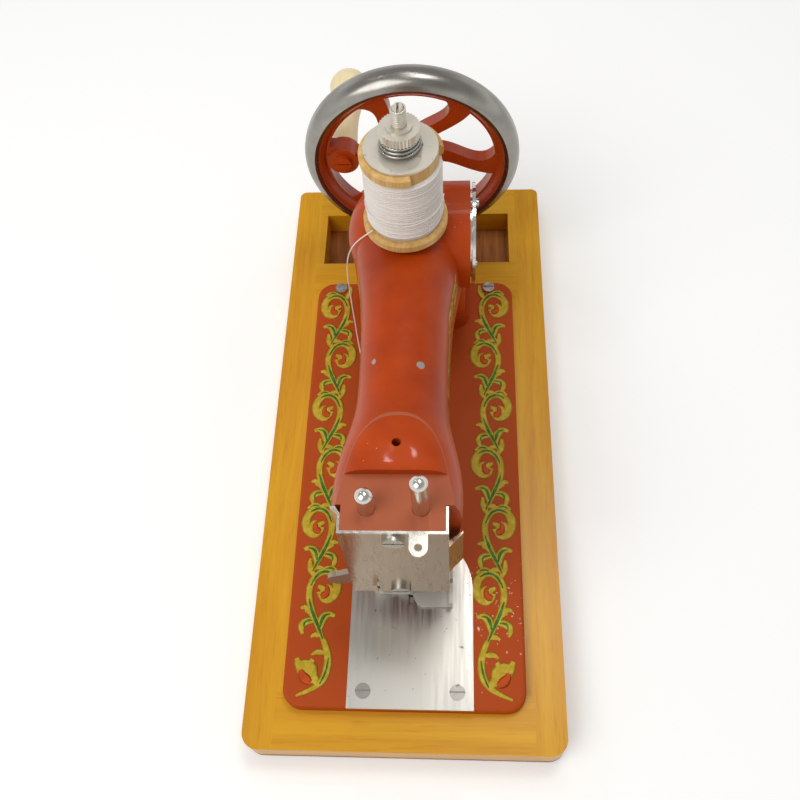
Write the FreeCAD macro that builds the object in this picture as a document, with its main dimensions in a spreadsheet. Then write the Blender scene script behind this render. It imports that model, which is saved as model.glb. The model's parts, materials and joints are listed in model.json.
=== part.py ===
import FreeCAD, Part
import math
import os
import Sketcher

# Small hand-cranked chain-stitch sewing machine on a wooden base.
# Millimetres. +Z up, +Y from the needle end to the handwheel, +X to the operator's side.
# The origin is the centre of the base's underside.

SIZES = {
    # Wooden base
    "base_length": 258.0,
    "base_width": 115.0,
    "base_height": 14.0,
    "board_thickness": 2.5,
    "side_rail_width": 14.5,
    "housing_depth": 3.5,
    "front_rail_depth": 20.0,
    "cross_rail_depth": 21.0,
    "rear_rail_depth": 15.0,
    "compartment_length": 29.0,
    "base_front_radius": 6.0,
    "base_rear_radius": 3.0,
    "nail_radius": 0.8,
    "nail_length": 8.0,
    # Bed plate and needle plate
    "bed_width": 86.8,
    "bed_front_margin": 13.6,
    "bed_length": 185.4,
    "bed_height": 5.0,
    "bed_wall": 2.6,
    "bed_rim": 4.0,
    "bed_corner_radius": 7.0,
    "bed_edge_radius": 1.4,
    "bed_screw_x": 33.0,
    "bed_screw_inset": 3.4,
    "bed_screw_head_radius": 2.6,
    "bed_screw_head_height": 1.0,
    "bed_screw_radius": 1.6,
    "bed_screw_length": 12.0,
    "needle_plate_width": 45.0,
    "needle_plate_shift": 2.3,
    "needle_plate_straight": 43.4,
    "needle_plate_thickness": 1.5,
    "needle_plate_proud": 0.3,
    "plate_screw_spacing": 33.5,
    "plate_screw_inset": 6.1,
    "plate_screw_radius": 1.5,
    "plate_screw_length": 4.0,
    "plate_screw_head_radius": 2.75,
    "plate_screw_head_height": 0.9,
    "slot_width": 0.7,
    "slot_depth": 0.6,
    # Fits
    "run_gap": 0.05,
    "fit_gap": 0.03,
    "cut_over": 1.0,
    "cut_far": 9.0,
    "axle_end_wall": 2.0,
    "channel_lap": 2.0,
    "bush_lip": 1.0,
    "shaft_room": 1.0,
    "free_gap": 0.4,
    # Casting: pillar, arm and head
    "shaft_height": 67.5,
    "pillar_y": 57.0,
    "drum_radius": 20.8,
    "drum_half_width": 24.0,
    "drum_dome": 12.0,
    "foot_height": 5.0,
    "foot_width": 49.0,
    "foot_depth": 24.0,
    "column_width": 45.0,
    "column_depth": 25.0,
    "gear_room_width": 33.0,
    "gear_room_depth": 12.0,
    "gear_room_top": 80.0,
    "arm_top": 90.5,
    "arm_bottom": 57.0,
    "arm_waist_width": 32.4,
    "arm_root_width": 43.0,
    "arm_channel_width": 17.0,
    "arm_channel_top": 78.0,
    "head_width": 40.5,
    "head_top": 97.0,
    "head_bottom": 46.0,
    "head_front": -77.8,
    "deck_height": 94.0,
    "deck_back": -59.3,
    "deck_left": 16.5,
    "deck_right": 15.6,
    "deck_corner_radius": 9.0,
    "head_room_width": 27.0,
    "head_room_floor": 52.0,
    "head_room_top": 86.0,
    "head_room_back": -52.0,
    "cheek_back": -69.4,
    "oil_hole_radius": 1.5,
    "oil_hole_y": -49.4,
    "pillar_bolt_x": 19.2,
    "pillar_bolt_radius": 2.0,
    "pillar_bolt_head_radius": 3.4,
    "pillar_bolt_head_height": 3.0,
    "pillar_bolt_reach": 12.0,
    # Round side cover
    "side_cover_radius": 20.2,
    "side_cover_thickness": 1.2,
    "side_cover_standoff": 0.8,
    "side_window_radius": 16.6,
    "side_spigot_length": 3.5,
    "side_screw_pitch_radius": 18.4,
    "side_screw_radius": 0.9,
    "side_screw_head_radius": 1.6,
    "side_screw_length": 5.0,
    # Face cover
    "sheet_thickness": 0.8,
    "face_bottom": 37.6,
    "face_leg": 8.0,
    "face_lip": 2.6,
    "wing_width": 5.6,
    "wing_bottom": 52.0,
    "wing_top": 76.0,
    "eye_tab_left": 4.6,
    "eye_tab_width": 5.7,
    "eye_tab_length": 7.2,
    "eye_radius": 1.2,
    "hook_x": -9.0,
    "hook_width": 1.4,
    "hook_bottom": 41.0,
    "hook_length": 8.0,
    "hook_standoff": 1.0,
    "face_screw_x": -0.5,
    "face_screw_upper": 89.0,
    "face_screw_lower": 42.0,
    "face_screw_radius": 1.5,
    "face_screw_length": 3.4,
    "face_screw_head_radius": 3.5,
    "face_screw_head_height": 1.6,
    # Main shaft, bushes, crank and handwheel
    "shaft_radius": 4.0,
    "bush_radius": 6.0,
    "front_bush_length": 10.0,
    "rear_bush_length": 17.0,
    "crank_disc_radius": 11.0,
    "crank_disc_length": 4.5,
    "crank_radius": 7.0,
    "crank_pin_radius": 2.0,
    "wheel_y": 99.8,
    "wheel_radius": 44.8,
    "rim_height": 9.0,
    "rim_width": 13.6,
    "web_width": 6.0,
    "web_depth": 1.0,
    "hub_radius": 9.0,
    "hub_back": 7.0,
    "spoke_width": 7.0,
    "spoke_thickness": 5.6,
    "spoke_wave": 2.9,
    "handle_reach": 28.7,
    "handle_boss_radius": 6.6,
    "handle_boss_length": 8.0,
    "handle_axle_radius": 2.0,
    "handle_head_radius": 3.6,
    "handle_head_height": 1.6,
    "handle_length": 44.0,
    "handle_neck_radius": 5.2,
    "handle_bulb_radius": 8.6,
    "wheel_nut_radius": 6.0,
    "wheel_nut_length": 4.0,
    # Gear train
    "gear_length": 5.0,
    "lower_shaft_height": 9.3,
    "idler_axle_radius": 2.0,
    "lower_shaft_x": 4.0,
    "lower_shaft_radius": 2.5,
    "lower_bush_radius": 4.0,
    "lower_bush_length": 5.0,
    "lug_width": 12.0,
    "lug_depth": 4.0,
    "lower_shaft_back": 62.0,
    "lower_shaft_front": -66.4,
    "lower_rear_bush_y": 40.0,
    "lower_front_bush_y": -52.0,
    "looper_radius": 5.4,
    "looper_thickness": 1.6,
    "feed_cam_radius": 4.4,
    "feed_cam_length": 3.0,
    # Needle bar and needle
    "needle_x": 8.0,
    "bar_y": -70.5,
    "bar_radius": 2.7,
    "needle_bar_top": 114.0,
    "needle_bar_bottom": 42.0,
    "yoke_thickness": 2.5,
    "yoke_height": 5.0,
    "yoke_boss_radius": 4.4,
    "clamp_radius": 3.6,
    "clamp_height": 3.2,
    "needle_radius": 0.6,
    "needle_tip": 22.6,
    "needle_point": 3.0,
    "needle_seat": 6.0,
    # Presser bar and foot
    "presser_x": -8.6,
    "presser_bar_top": 105.0,
    "presser_bar_bottom": 31.0,
    "collar_radius": 3.8,
    "collar_bottom": 60.0,
    "collar_height": 5.0,
    "spring_radius": 3.7,
    "foot_left": 2.6,
    "foot_right": 17.3,
    "foot_front": -79.0,
    "foot_back": -66.0,
    "foot_thickness": 1.3,
    "foot_rest_gap": 0.3,
    "foot_toe_height": 4.2,
    "foot_slot_width": 1.6,
    "foot_slot_start": 5.8,
    "foot_corner_radius": 5.0,
    "foot_boss_top": 40.0,
    "foot_screw_radius": 1.2,
    "foot_screw_head_radius": 2.6,
    "foot_screw_head_height": 1.8,
    "lifter_pin_x": -13.4,
    "lifter_pin_z": 49.0,
    "lifter_pin_radius": 1.2,
    "lifter_hub_radius": 2.6,
    "lifter_thickness": 2.0,
    "lifter_reach_x": -9.0,
    "lifter_reach_z": -8.0,
    "lifter_leaf_radius": 4.2,
    # Feed
    "feed_y": -76.0,
    "feed_width": 3.0,
    "feed_tooth_left": 4.0,
    "feed_tooth_right": 13.0,
    "feed_bar_left": -13.8,
    "feed_bar_height": 2.0,
    "feed_drop": 0.4,
    "feed_guide_left": -13.0,
    "feed_guide_length": 9.0,
    "feed_guide_wall": 1.6,
    "feed_play": 3.0,
    "needle_hole_radius": 1.6,
    # Spool, tension and thread
    "spool_y": 46.0,
    "spool_seat": 88.6,
    "spool_radius": 15.5,
    "spool_top_radius": 14.5,
    "spool_height": 37.0,
    "spool_flange": 4.6,
    "spool_barrel_radius": 8.5,
    "spool_bore_radius": 3.2,
    "spool_chamfer": 1.0,
    "spool_chip_radius": 12.9,
    "spool_seat_radius": 9.0,
    "spool_pin_radius": 2.5,
    "spool_pin_top": 144.0,
    "spool_pin_root": 10.0,
    "washer_radius": 12.8,
    "washer_thickness": 0.9,
    "stack_gap": 0.1,
    "spring_wire_radius": 0.65,
    "spring_low_radius": 7.4,
    "spring_high_radius": 4.6,
    "spring_pitch": 1.9,
    "nut_radius": 7.1,
    "nut_height": 3.4,
    "nut_collar_radius": 4.4,
    "nut_collar_height": 0.9,
    "winding_radius": 13.9,
    "thread_radius": 0.4,
    "winding_pitch": 1.26,
    "tail_radius": 0.25,
}
WHEEL_SPOKES = 6
SPOKE_ANGLE = 58.0
HANDLE_ANGLE = 178.0
PINION_TEETH = 12
IDLER_TEETH = 27
NUT_KNURLS = 36
SPRING_TURNS = 2
CHIP_ANGLES = (-75.0, 5.0)

V = FreeCAD.Vector
UPRIGHT = FreeCAD.Rotation()
ALONG_X = FreeCAD.Rotation(V(0, 1, 0), 90)
ALONG_Y = FreeCAD.Rotation(V(1, 0, 0), -90)

os.makedirs("parts", exist_ok=True)
doc = FreeCAD.newDocument("sewing_machine")
sheet = doc.addObject("Spreadsheet::Sheet", "sizes")
for row, (alias, value) in enumerate(SIZES.items(), start=1):
    sheet.set("A%d" % row, alias)
    sheet.set("B%d" % row, str(value))
    sheet.setAlias("B%d" % row, alias)
doc.recompute()


class Size:
    """A length with its number and the sheet expression that gives it."""

    def __init__(self, value, text):
        self.value = value
        self.text = text

    def join(self, sign, value, text):
        return Size(value, "(%s %s %s)" % (self.text, sign, text))

    def __add__(self, other):
        return self.join("+", self.value + number(other), words(other))

    def __sub__(self, other):
        return self.join("-", self.value - number(other), words(other))

    def __mul__(self, other):
        return self.join("*", self.value * number(other), words(other))

    def __truediv__(self, other):
        return self.join("/", self.value / number(other), words(other))

    def __neg__(self):
        return Size(-self.value, "(0 - %s)" % self.text)

    def __radd__(self, other):
        return Size(number(other), words(other)) + self

    def __rsub__(self, other):
        return Size(number(other), words(other)) - self


def number(value):
    return value.value if isinstance(value, Size) else float(value)


def words(value):
    return value.text if isinstance(value, Size) else repr(float(value))


class Sizes:
    """Every driving dimension of the sheet under its alias."""

    def __init__(self):
        for alias in SIZES:
            setattr(self, alias, Size(float(sheet.get(alias)), "sizes." + alias))


d = Sizes()
nodes = []


def node(obj, label):
    obj.Label = label
    nodes.append(obj)
    return obj


def put(obj, prop, value):
    setattr(obj, prop, number(value))
    if isinstance(value, Size):
        obj.setExpression(prop, value.text)


def place(obj, at, turn=UPRIGHT):
    obj.Placement = FreeCAD.Placement(V(*[number(value) for value in at]), turn)
    for axis, value in zip("xyz", at):
        if isinstance(value, Size):
            obj.setExpression("Placement.Base." + axis, value.text)
    return obj


def box(low, high):
    block = doc.addObject("Part::Box", "block")
    for prop, start, end in zip(("Length", "Width", "Height"), low, high):
        put(block, prop, end - start)
    return place(block, low)


def rod(at, radius, length, turn=UPRIGHT):
    cylinder = doc.addObject("Part::Cylinder", "rod")
    put(cylinder, "Radius", radius)
    put(cylinder, "Height", length)
    return place(cylinder, at, turn)


def fuse(*pieces):
    union = doc.addObject("Part::MultiFuse", "union")
    union.Shapes = list(pieces)
    union.Refine = True
    return union


def weld(base, *pieces):
    """Joins pieces one after another, for curved skins that don't join all at once."""
    for piece in pieces:
        joined = doc.addObject("Part::Fuse", "weld")
        joined.Base = base
        joined.Tool = piece
        base = joined
    return base


def group(*pieces):
    bundle = doc.addObject("Part::Compound", "group")
    bundle.Links = list(pieces)
    return bundle


def cut(base, *tools):
    result = doc.addObject("Part::Cut", "cut")
    result.Base = base
    result.Tool = tools[0] if len(tools) == 1 else fuse(*tools)
    return result


def common(first, second):
    overlap = doc.addObject("Part::Common", "common")
    overlap.Base = first
    overlap.Tool = second
    return overlap


def solid(shape):
    feature = doc.addObject("Part::Feature", "solid")
    feature.Shape = shape
    feature.Placement = FreeCAD.Placement()
    return feature


def bent(start, end, radius, side):
    """An arc between two outline points; side +1 swells to the right of the way round."""
    chord = end - start
    rise = radius - math.sqrt(max(radius ** 2 - chord.Length ** 2 / 4, 0))
    across = V(chord.y, -chord.x, 0).normalize()
    return Part.Arc(start, (start + end) / 2 + across * rise * side, end)


def draw(body, plane, outline):
    """A sketch of lines and arcs whose every corner is bound to the sheet.

    A corner is (x, y), or (x, y, radius, side) where an arc arrives at it."""
    sketch = body.newObject("Sketcher::SketchObject", "outline")
    support = [feature for feature in body.Origin.OriginFeatures if feature.Role == plane][0]
    sketch.AttachmentSupport = [(support, "")]
    sketch.MapMode = "FlatFace"

    def hold(constraint, value):
        index = sketch.addConstraint(constraint)
        if isinstance(value, Size):
            sketch.setExpression("Constraints[%d]" % index, value.text)

    starts = []
    ends = []
    for here, there in zip(outline, outline[1:] + outline[:1]):
        first = V(number(here[0]), number(here[1]), 0)
        last = V(number(there[0]), number(there[1]), 0)
        if len(there) == 2:
            edge = sketch.addGeometry(Part.LineSegment(first, last))
            order = (1, 2)
        else:
            edge = sketch.addGeometry(bent(first, last, number(there[2]), there[3]))
            order = (1, 2) if there[3] > 0 else (2, 1)
            hold(Sketcher.Constraint("Radius", edge, number(there[2])), there[2])
        starts.append((edge, order[0]))
        ends.append((edge, order[1]))
    for index, corner in enumerate(outline):
        sketch.addConstraint(Sketcher.Constraint("Coincident", *ends[index - 1], *starts[index]))
        for word, axis, value in (("DistanceX", -2, corner[0]), ("DistanceY", -1, corner[1])):
            if number(value) == 0:
                sketch.addConstraint(Sketcher.Constraint("PointOnObject", *starts[index], axis))
            else:
                hold(Sketcher.Constraint(word, -1, 1, *starts[index], number(value)), value)
    return sketch


def turned(outline, at, turn=UPRIGHT):
    """A solid of revolution from its half outline (radius, height)."""
    body = doc.addObject("PartDesign::Body", "turned")
    sketch = draw(body, "XZ_Plane", outline)
    spin = body.newObject("PartDesign::Revolution", "spin")
    spin.Profile = sketch
    spin.ReferenceAxis = (sketch, ["V_Axis"])
    spin.Angle = 360
    return place(body, at, turn)


def prism(outline, at, height, turn=UPRIGHT):
    body = doc.addObject("PartDesign::Body", "prism")
    sketch = draw(body, "XY_Plane", outline)
    pad = body.newObject("PartDesign::Pad", "pad")
    pad.Profile = sketch
    put(pad, "Length", height)
    return place(body, at, turn)


def rounded(low_x, high_x, low_y, high_y, front, back):
    """A rectangle's outline with its front and back corner radii."""
    return [
        (low_x, low_y + front),
        (low_x + front, low_y, front, 1),
        (high_x - front, low_y),
        (high_x, low_y + front, front, 1),
        (high_x, high_y - back),
        (high_x - back, high_y, back, 1),
        (low_x + back, high_y),
        (low_x, high_y - back, back, 1),
    ]


def slotted(head_radius, head_height, shank_radius, length, at, turn=UPRIGHT):
    """A cheese-head screw; at is under the head, which stands along the turned +Z."""
    screw = turned(
        [(0, -length), (shank_radius, -length), (shank_radius, 0), (head_radius, 0),
         (head_radius, head_height), (0, head_height)], at, turn)
    half = d.slot_width / 2
    cutter = doc.addObject("Part::Box", "slot")
    put(cutter, "Length", head_radius * 2 + 2)
    put(cutter, "Width", d.slot_width)
    put(cutter, "Height", d.slot_depth * 2)
    offset = turn.multVec(V(-number(head_radius) - 1, -number(half), number(head_height - d.slot_depth)))
    place(cutter, [value + shift for value, shift in zip(at, offset)], turn)
    return cut(screw, cutter)


# Wooden base: two side rails with housings, three rails between them, a nailed bottom board
half_length = d.base_length / 2
half_width = d.base_width / 2
rail_inside = half_width - d.side_rail_width
housing_end = rail_inside + d.housing_depth
rear_rail_front = half_length - d.rear_rail_depth
cross_rail_back = rear_rail_front - d.compartment_length
cross_rail_front = cross_rail_back - d.cross_rail_depth
base_outline = rounded(-half_width, half_width, -half_length, half_length,
                       d.base_front_radius, d.base_rear_radius)
bed_half = d.bed_width / 2
bed_front = d.bed_front_margin - half_length
bed_back = bed_front + d.bed_length
bed_top = d.base_height + d.bed_height
bed_under = bed_top - d.bed_wall
nail_x = half_width - d.side_rail_width / 2
nail_y = half_length - d.front_rail_depth / 2
nail_places = [(x, y, 0) for x in (-nail_x, nail_x) for y in (-nail_y, 0, nail_y)]
bed_screw_places = [(x, bed_back - d.bed_screw_inset, bed_top) for x in (-d.bed_screw_x, d.bed_screw_x)]
rails = (
    ("base_front_rail", -half_length, d.front_rail_depth - half_length),
    ("base_cross_rail", cross_rail_front, cross_rail_back),
    ("base_rear_rail", rear_rail_front, half_length),
)


def rail_block(start, end):
    return box((-housing_end, start, d.board_thickness), (housing_end, end, d.base_height))


def nail_holes():
    return [rod(at, d.nail_radius + d.fit_gap, d.nail_length + d.fit_gap) for at in nail_places]


def bed_screw_holes():
    depth = d.bed_screw_length + d.fit_gap
    return [rod((x, y, z - depth), d.bed_screw_radius + d.fit_gap, depth) for x, y, z in bed_screw_places]


for label, start, end in rails:
    rail = rail_block(start, end)
    if label == "base_cross_rail":
        rail = cut(rail, *bed_screw_holes())
    node(rail, label)
for label, low, high in (("base_side_rail_left", -half_width, -rail_inside),
                         ("base_side_rail_right", rail_inside, half_width)):
    blank = prism(base_outline, (0, 0, d.board_thickness), d.base_height - d.board_thickness)
    strip = box((low, -half_length, 0), (high, half_length, d.base_height))
    housings = [rail_block(start, end) for name, start, end in rails]
    node(cut(common(blank, strip), *housings, *nail_holes()), label)
node(cut(prism(base_outline, (0, 0, 0), d.board_thickness), *nail_holes()), "base_board")
node(group(*[rod(at, d.nail_radius, d.nail_length) for at in nail_places]), "board_nails")

# Bed plate: a shallow casting, open below, with lugs that carry the lower shaft
plate_left = d.needle_plate_shift - d.needle_plate_width / 2
plate_right = d.needle_plate_shift + d.needle_plate_width / 2
plate_radius = d.needle_plate_width / 2
plate_round_y = bed_front + d.needle_plate_straight
plate_top = bed_top + d.needle_plate_proud
plate_under = plate_top - d.needle_plate_thickness
plate_screw_y = bed_front + d.plate_screw_inset
plate_screw_seat = plate_top - d.plate_screw_head_height
plate_screw_places = [(d.needle_plate_shift + shift, plate_screw_y, plate_screw_seat)
                      for shift in (-(d.plate_screw_spacing / 2), d.plate_screw_spacing / 2)]
room_front = d.pillar_y - d.gear_room_depth / 2
room_back = d.pillar_y + d.gear_room_depth / 2
room_half = d.gear_room_width / 2


def tongue(grow, low, high):
    """The needle plate's outline: straight from the bed's front, round at its far end."""
    radius = plate_radius + grow
    outline = [
        (plate_left - grow, bed_front),
        (plate_right + grow, bed_front),
        (plate_right + grow, plate_round_y),
        (d.needle_plate_shift, plate_round_y + radius, radius, 1),
        (plate_left - grow, plate_round_y, radius, 1),
    ]
    return prism(outline, (0, 0, low), high - low)


def round_top(piece, radius, height):
    """Rounds the outside edges of a plate's top face."""
    doc.recompute()
    edges = []
    for index, edge in enumerate(piece.Shape.Edges, start=1):
        if abs(edge.BoundBox.ZMin - number(height)) < 1e-6:
            edges.append((index, number(radius), number(radius)))
    fillet = doc.addObject("Part::Fillet", "rounded_top")
    fillet.Base = piece
    fillet.Edges = edges
    return fillet


def plate_screw_holes(low):
    return [rod((x, y, low), d.plate_screw_radius + d.fit_gap, plate_screw_seat - low)
            for x, y, z in plate_screw_places]


def bolt_places(height):
    return [(x, d.pillar_y, height) for x in (-d.pillar_bolt_x, d.pillar_bolt_x)]


lug_low = d.lower_shaft_height - d.lug_width / 2
lug_places = (d.lower_rear_bush_y, d.lower_front_bush_y)
bed_blank = round_top(
    prism(rounded(-bed_half, bed_half, bed_front, bed_back, d.bed_corner_radius, d.bed_corner_radius),
          (0, 0, d.base_height), d.bed_height), d.bed_edge_radius, bed_top)
bed_hollow = box((d.bed_rim - bed_half, bed_front + d.bed_rim, d.base_height),
                 (bed_half - d.bed_rim, bed_back - d.bed_rim, bed_under))
lugs = [box((d.lower_shaft_x - d.lug_width / 2, y, lug_low),
            (d.lower_shaft_x + d.lug_width / 2, y + d.lug_depth, bed_under)) for y in lug_places]
lug_bores = [rod((d.lower_shaft_x, y, d.lower_shaft_height), d.lower_bush_radius + d.fit_gap,
                 d.lug_depth, ALONG_Y) for y in lug_places]
looper_well = box((plate_left + d.bed_rim, plate_screw_y + d.plate_screw_inset, d.base_height),
                  (plate_right - d.bed_rim, plate_round_y + d.bed_rim * 2, bed_top))
gear_slot = box((-room_half, room_front, d.base_height), (room_half, room_back, bed_top))
bolt_holes = [rod(at, d.pillar_bolt_radius + d.fit_gap, bed_top - d.base_height)
              for at in bolt_places(d.base_height)]
bed_cuts = [bed_hollow, tongue(d.run_gap, plate_under, bed_top + d.bed_height), looper_well, gear_slot]
bed_shell = cut(bed_blank, *bed_cuts, *bolt_holes, *bed_screw_holes(), *plate_screw_holes(d.base_height))
node(cut(fuse(bed_shell, *lugs), *lug_bores), "bed_plate")
node(group(*[slotted(d.bed_screw_head_radius, d.bed_screw_head_height, d.bed_screw_radius,
                     d.bed_screw_length, at) for at in bed_screw_places]), "bed_screws")

# Needle plate with its needle hole and feed slot
feed_half = d.feed_width / 2
feed_slot = box((d.feed_tooth_left - d.feed_play, d.feed_y - feed_half - d.free_gap, plate_under),
                (d.feed_tooth_right + d.feed_play, d.feed_y + feed_half + d.free_gap, plate_top))
needle_hole = rod((d.needle_x, d.bar_y, plate_under), d.needle_hole_radius, d.needle_plate_thickness)
head_seats = [rod(at, d.plate_screw_head_radius + d.fit_gap, d.plate_screw_head_height)
              for at in plate_screw_places]
node(cut(tongue(0, plate_under, plate_top), feed_slot, needle_hole, *head_seats,
         *plate_screw_holes(plate_under)), "needle_plate")
node(group(*[slotted(d.plate_screw_head_radius, d.plate_screw_head_height, d.plate_screw_radius,
                     d.plate_screw_length, at) for at in plate_screw_places]), "needle_plate_screws")

# Feed dog, a toothed bar that slides along X in a guide under the needle plate
feed_top = plate_under - d.feed_drop
feed_under = feed_top - d.feed_bar_height
feed_bar = box((d.feed_bar_left, d.feed_y - feed_half, feed_under),
               (d.feed_tooth_right, d.feed_y + feed_half, feed_top))
feed_head = box((d.feed_tooth_left, d.feed_y - feed_half, feed_top),
                (d.feed_tooth_right, d.feed_y + feed_half, plate_top - d.feed_drop))
node(fuse(feed_bar, feed_head), "feed_dog")
guide_right = d.feed_guide_left + d.feed_guide_length
guide_block = box((d.feed_guide_left, d.feed_y - feed_half - d.feed_guide_wall, feed_under - d.feed_guide_wall),
                  (guide_right, d.feed_y + feed_half + d.feed_guide_wall, plate_under))
guide_track = box((d.feed_guide_left, d.feed_y - feed_half - d.run_gap, feed_under - d.run_gap),
                  (guide_right, d.feed_y + feed_half + d.run_gap, feed_top + d.run_gap))
node(cut(guide_block, guide_track), "feed_guide")

# Gear train: equal pinions on the two shafts and two equal idlers on the line between them
train_x = number(d.lower_shaft_x)
train_z = number(d.lower_shaft_height - d.shaft_height)
train_length = math.hypot(train_x, train_z)
train_angle = math.degrees(math.atan2(train_z, train_x))
half_teeth = (PINION_TEETH + IDLER_TEETH) / 2
gear_module = train_length / (2 * half_teeth + IDLER_TEETH)
TOOTH_TIP = 0.75
TOOTH_ROOT = 1.05
# Share of the tooth pitch that a tooth fills at its root, at the pitch circle and at its tip
TOOTH_SHARE = (0.62, 0.40, 0.18)


def train_point(along):
    """X and Z of a point of the gear line, a distance in modules from the main shaft."""
    share = along * gear_module / train_length
    return train_x * share, number(d.shaft_height) + train_z * share


def gear(teeth, centre, tooth_angle, bore):
    """A spur gear along Y with a tooth centred on tooth_angle."""
    pitch_radius = teeth * gear_module / 2
    radii = (pitch_radius - TOOTH_ROOT * gear_module, pitch_radius, pitch_radius + TOOTH_TIP * gear_module)
    pitch = 360 / teeth
    points = []
    for tooth in range(teeth):
        middle = tooth_angle + tooth * pitch
        flank = [(radius, share * pitch / 2) for radius, share in zip(radii, TOOTH_SHARE)]
        for radius, spread in [(r, -s) for r, s in flank] + flank[::-1]:
            turn = math.radians(middle + spread)
            points.append(V(radius * math.cos(turn), 0, radius * math.sin(turn)))
    wheel = Part.Face(Part.makePolygon(points + points[:1])).extrude(V(0, number(d.gear_length), 0))
    hole = Part.makeCylinder(number(bore), number(d.gear_length), V(0, 0, 0), V(0, 1, 0))
    feature = solid(wheel.cut(hole))
    start = d.pillar_y - d.gear_length / 2
    return place(feature, (centre[0], start, centre[1]))


upper_idler = train_point(half_teeth)
lower_idler = train_point(half_teeth + IDLER_TEETH)
idler_pitch = 360 / IDLER_TEETH
pinion_pitch = 360 / PINION_TEETH
facing = train_angle + 180
node(gear(PINION_TEETH, (0, d.shaft_height), train_angle, d.shaft_radius + d.fit_gap), "main_pinion")
node(gear(IDLER_TEETH, upper_idler, facing + idler_pitch / 2, d.idler_axle_radius + d.run_gap),
     "idler_gear_upper")
node(gear(IDLER_TEETH, lower_idler, facing + idler_pitch / 2, d.idler_axle_radius + d.run_gap),
     "idler_gear_lower")
node(gear(PINION_TEETH, (d.lower_shaft_x, d.lower_shaft_height), facing + pinion_pitch / 2,
          d.lower_shaft_radius + d.fit_gap), "lower_pinion")
axle_start = d.pillar_y - d.column_depth / 2 + d.axle_end_wall
axle_length = d.column_depth - d.axle_end_wall * 2
for label, (x, z) in (("idler_axle_upper", upper_idler), ("idler_axle_lower", lower_idler)):
    node(rod((x, axle_start, z), d.idler_axle_radius, axle_length, ALONG_Y), label)

# Lower shaft with its bushes, feed cam and looper
node(rod((d.lower_shaft_x, d.lower_shaft_front, d.lower_shaft_height), d.lower_shaft_radius,
         d.lower_shaft_back - d.lower_shaft_front, ALONG_Y), "lower_shaft")


def bush(at, radius, bore, length):
    return cut(rod(at, radius, length, ALONG_Y), rod(at, bore + d.run_gap, length, ALONG_Y))


for label, y in zip(("lower_rear_bush", "lower_front_bush"), lug_places):
    node(bush((d.lower_shaft_x, y, d.lower_shaft_height), d.lower_bush_radius, d.lower_shaft_radius,
              d.lower_bush_length), label)
cam_at = (d.lower_shaft_x, d.lower_front_bush_y - d.feed_cam_length - d.free_gap, d.lower_shaft_height)
cam_shift = d.feed_cam_radius - d.lower_shaft_radius - d.sheet_thickness
node(cut(rod((cam_at[0] + cam_shift, cam_at[1], cam_at[2]), d.feed_cam_radius, d.feed_cam_length, ALONG_Y),
         rod(cam_at, d.lower_shaft_radius + d.fit_gap, d.feed_cam_length, ALONG_Y)), "feed_cam")
looper_at = (d.lower_shaft_x, d.lower_shaft_front - d.looper_thickness, d.lower_shaft_height)
looper_disc = rod(looper_at, d.looper_radius, d.looper_thickness, ALONG_Y)
looper_throat = box((d.lower_shaft_x, looper_at[1], d.lower_shaft_height + d.looper_radius * 0.3),
                    (d.lower_shaft_x + d.looper_radius, d.lower_shaft_front,
                     d.lower_shaft_height + d.looper_radius * 0.7))
node(cut(looper_disc, looper_throat), "looper")

# Arm casting: a lofted arm and head, a drum across the pillar, a column on the bed
ROUND_SHOULDER = ((1.0, 0.0), (0.975, 0.42), (0.83, 0.76), (0.47, 0.945), (0.0, 1.0))
SQUARE_SHOULDER = ((1.0, 0.0), (1.0, 0.5), (0.945, 0.83), (0.68, 0.972), (0.0, 1.0))
HEAD_LENGTH = 21.0
NECK_LENGTH = 25.0
SEAT_RISE = 1.0
BROW_SPARE = 4.0
LOFT_DEGREE = 3


def arch(y, half, low, high, square):
    """One section of the arm: a flat underside and one smooth curve over the top."""
    side = []
    for (wide, tall), (wide_too, tall_too) in zip(ROUND_SHOULDER, SQUARE_SHOULDER):
        across = wide + (wide_too - wide) * square
        up = tall + (tall_too - tall) * square
        side.append((across * half, low + up * (high - low)))
    points = [V(x, y, z) for x, z in side] + [V(-x, y, z) for x, z in side[-2::-1]]
    curve = Part.BSplineCurve()
    curve.interpolate(points)
    return Part.Wire([curve.toShape(), Part.makeLine(points[-1], points[0])])


def arm_loft():
    waist = number(d.arm_waist_width) / 2
    root = number(d.arm_root_width) / 2
    head = number(d.head_width) / 2
    top = number(d.arm_top)
    low = number(d.arm_bottom)
    brow = number(d.head_top)
    chin = number(d.head_bottom)
    front = number(d.head_front)
    back = number(d.pillar_y)
    seat = number(d.spool_seat)
    neck = front + HEAD_LENGTH + NECK_LENGTH
    waist_y = neck + (back - neck) * 0.2
    sections = [
        arch(back - 7, root, low - 6, seat - SEAT_RISE, 0),
        arch(back - 26, root * 0.55 + waist * 0.45, low - 2.5, seat - SEAT_RISE, 0),
        arch(back - 49, waist * 0.9 + root * 0.1, low - 0.5, top - 0.6, 0),
        arch(waist_y, waist, low, top, 0),
        arch(neck, waist * 1.045, low - 1, top * 0.7 + brow * 0.3, 0.2),
        arch(front + HEAD_LENGTH + 11, head * 0.945, chin + 5, brow - 1, 0.65),
        arch(front + HEAD_LENGTH, head, chin + 0.5, brow, 1),
        arch(front + 10, head * 0.99, chin, brow + BROW_SPARE, 1),
        arch(front, head * 0.97, chin, brow + BROW_SPARE, 1),
    ]
    return Part.makeLoft(sections, True, False, False, LOFT_DEGREE)


drum_half = d.drum_half_width
drum = turned(
    [(0, -drum_half), (d.drum_radius, d.drum_dome - drum_half, d.drum_radius * 1.15, 1),
     (d.drum_radius, drum_half), (0, drum_half)],
    (0, d.pillar_y, d.shaft_height), ALONG_X)
foot_rise = d.foot_height


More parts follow.
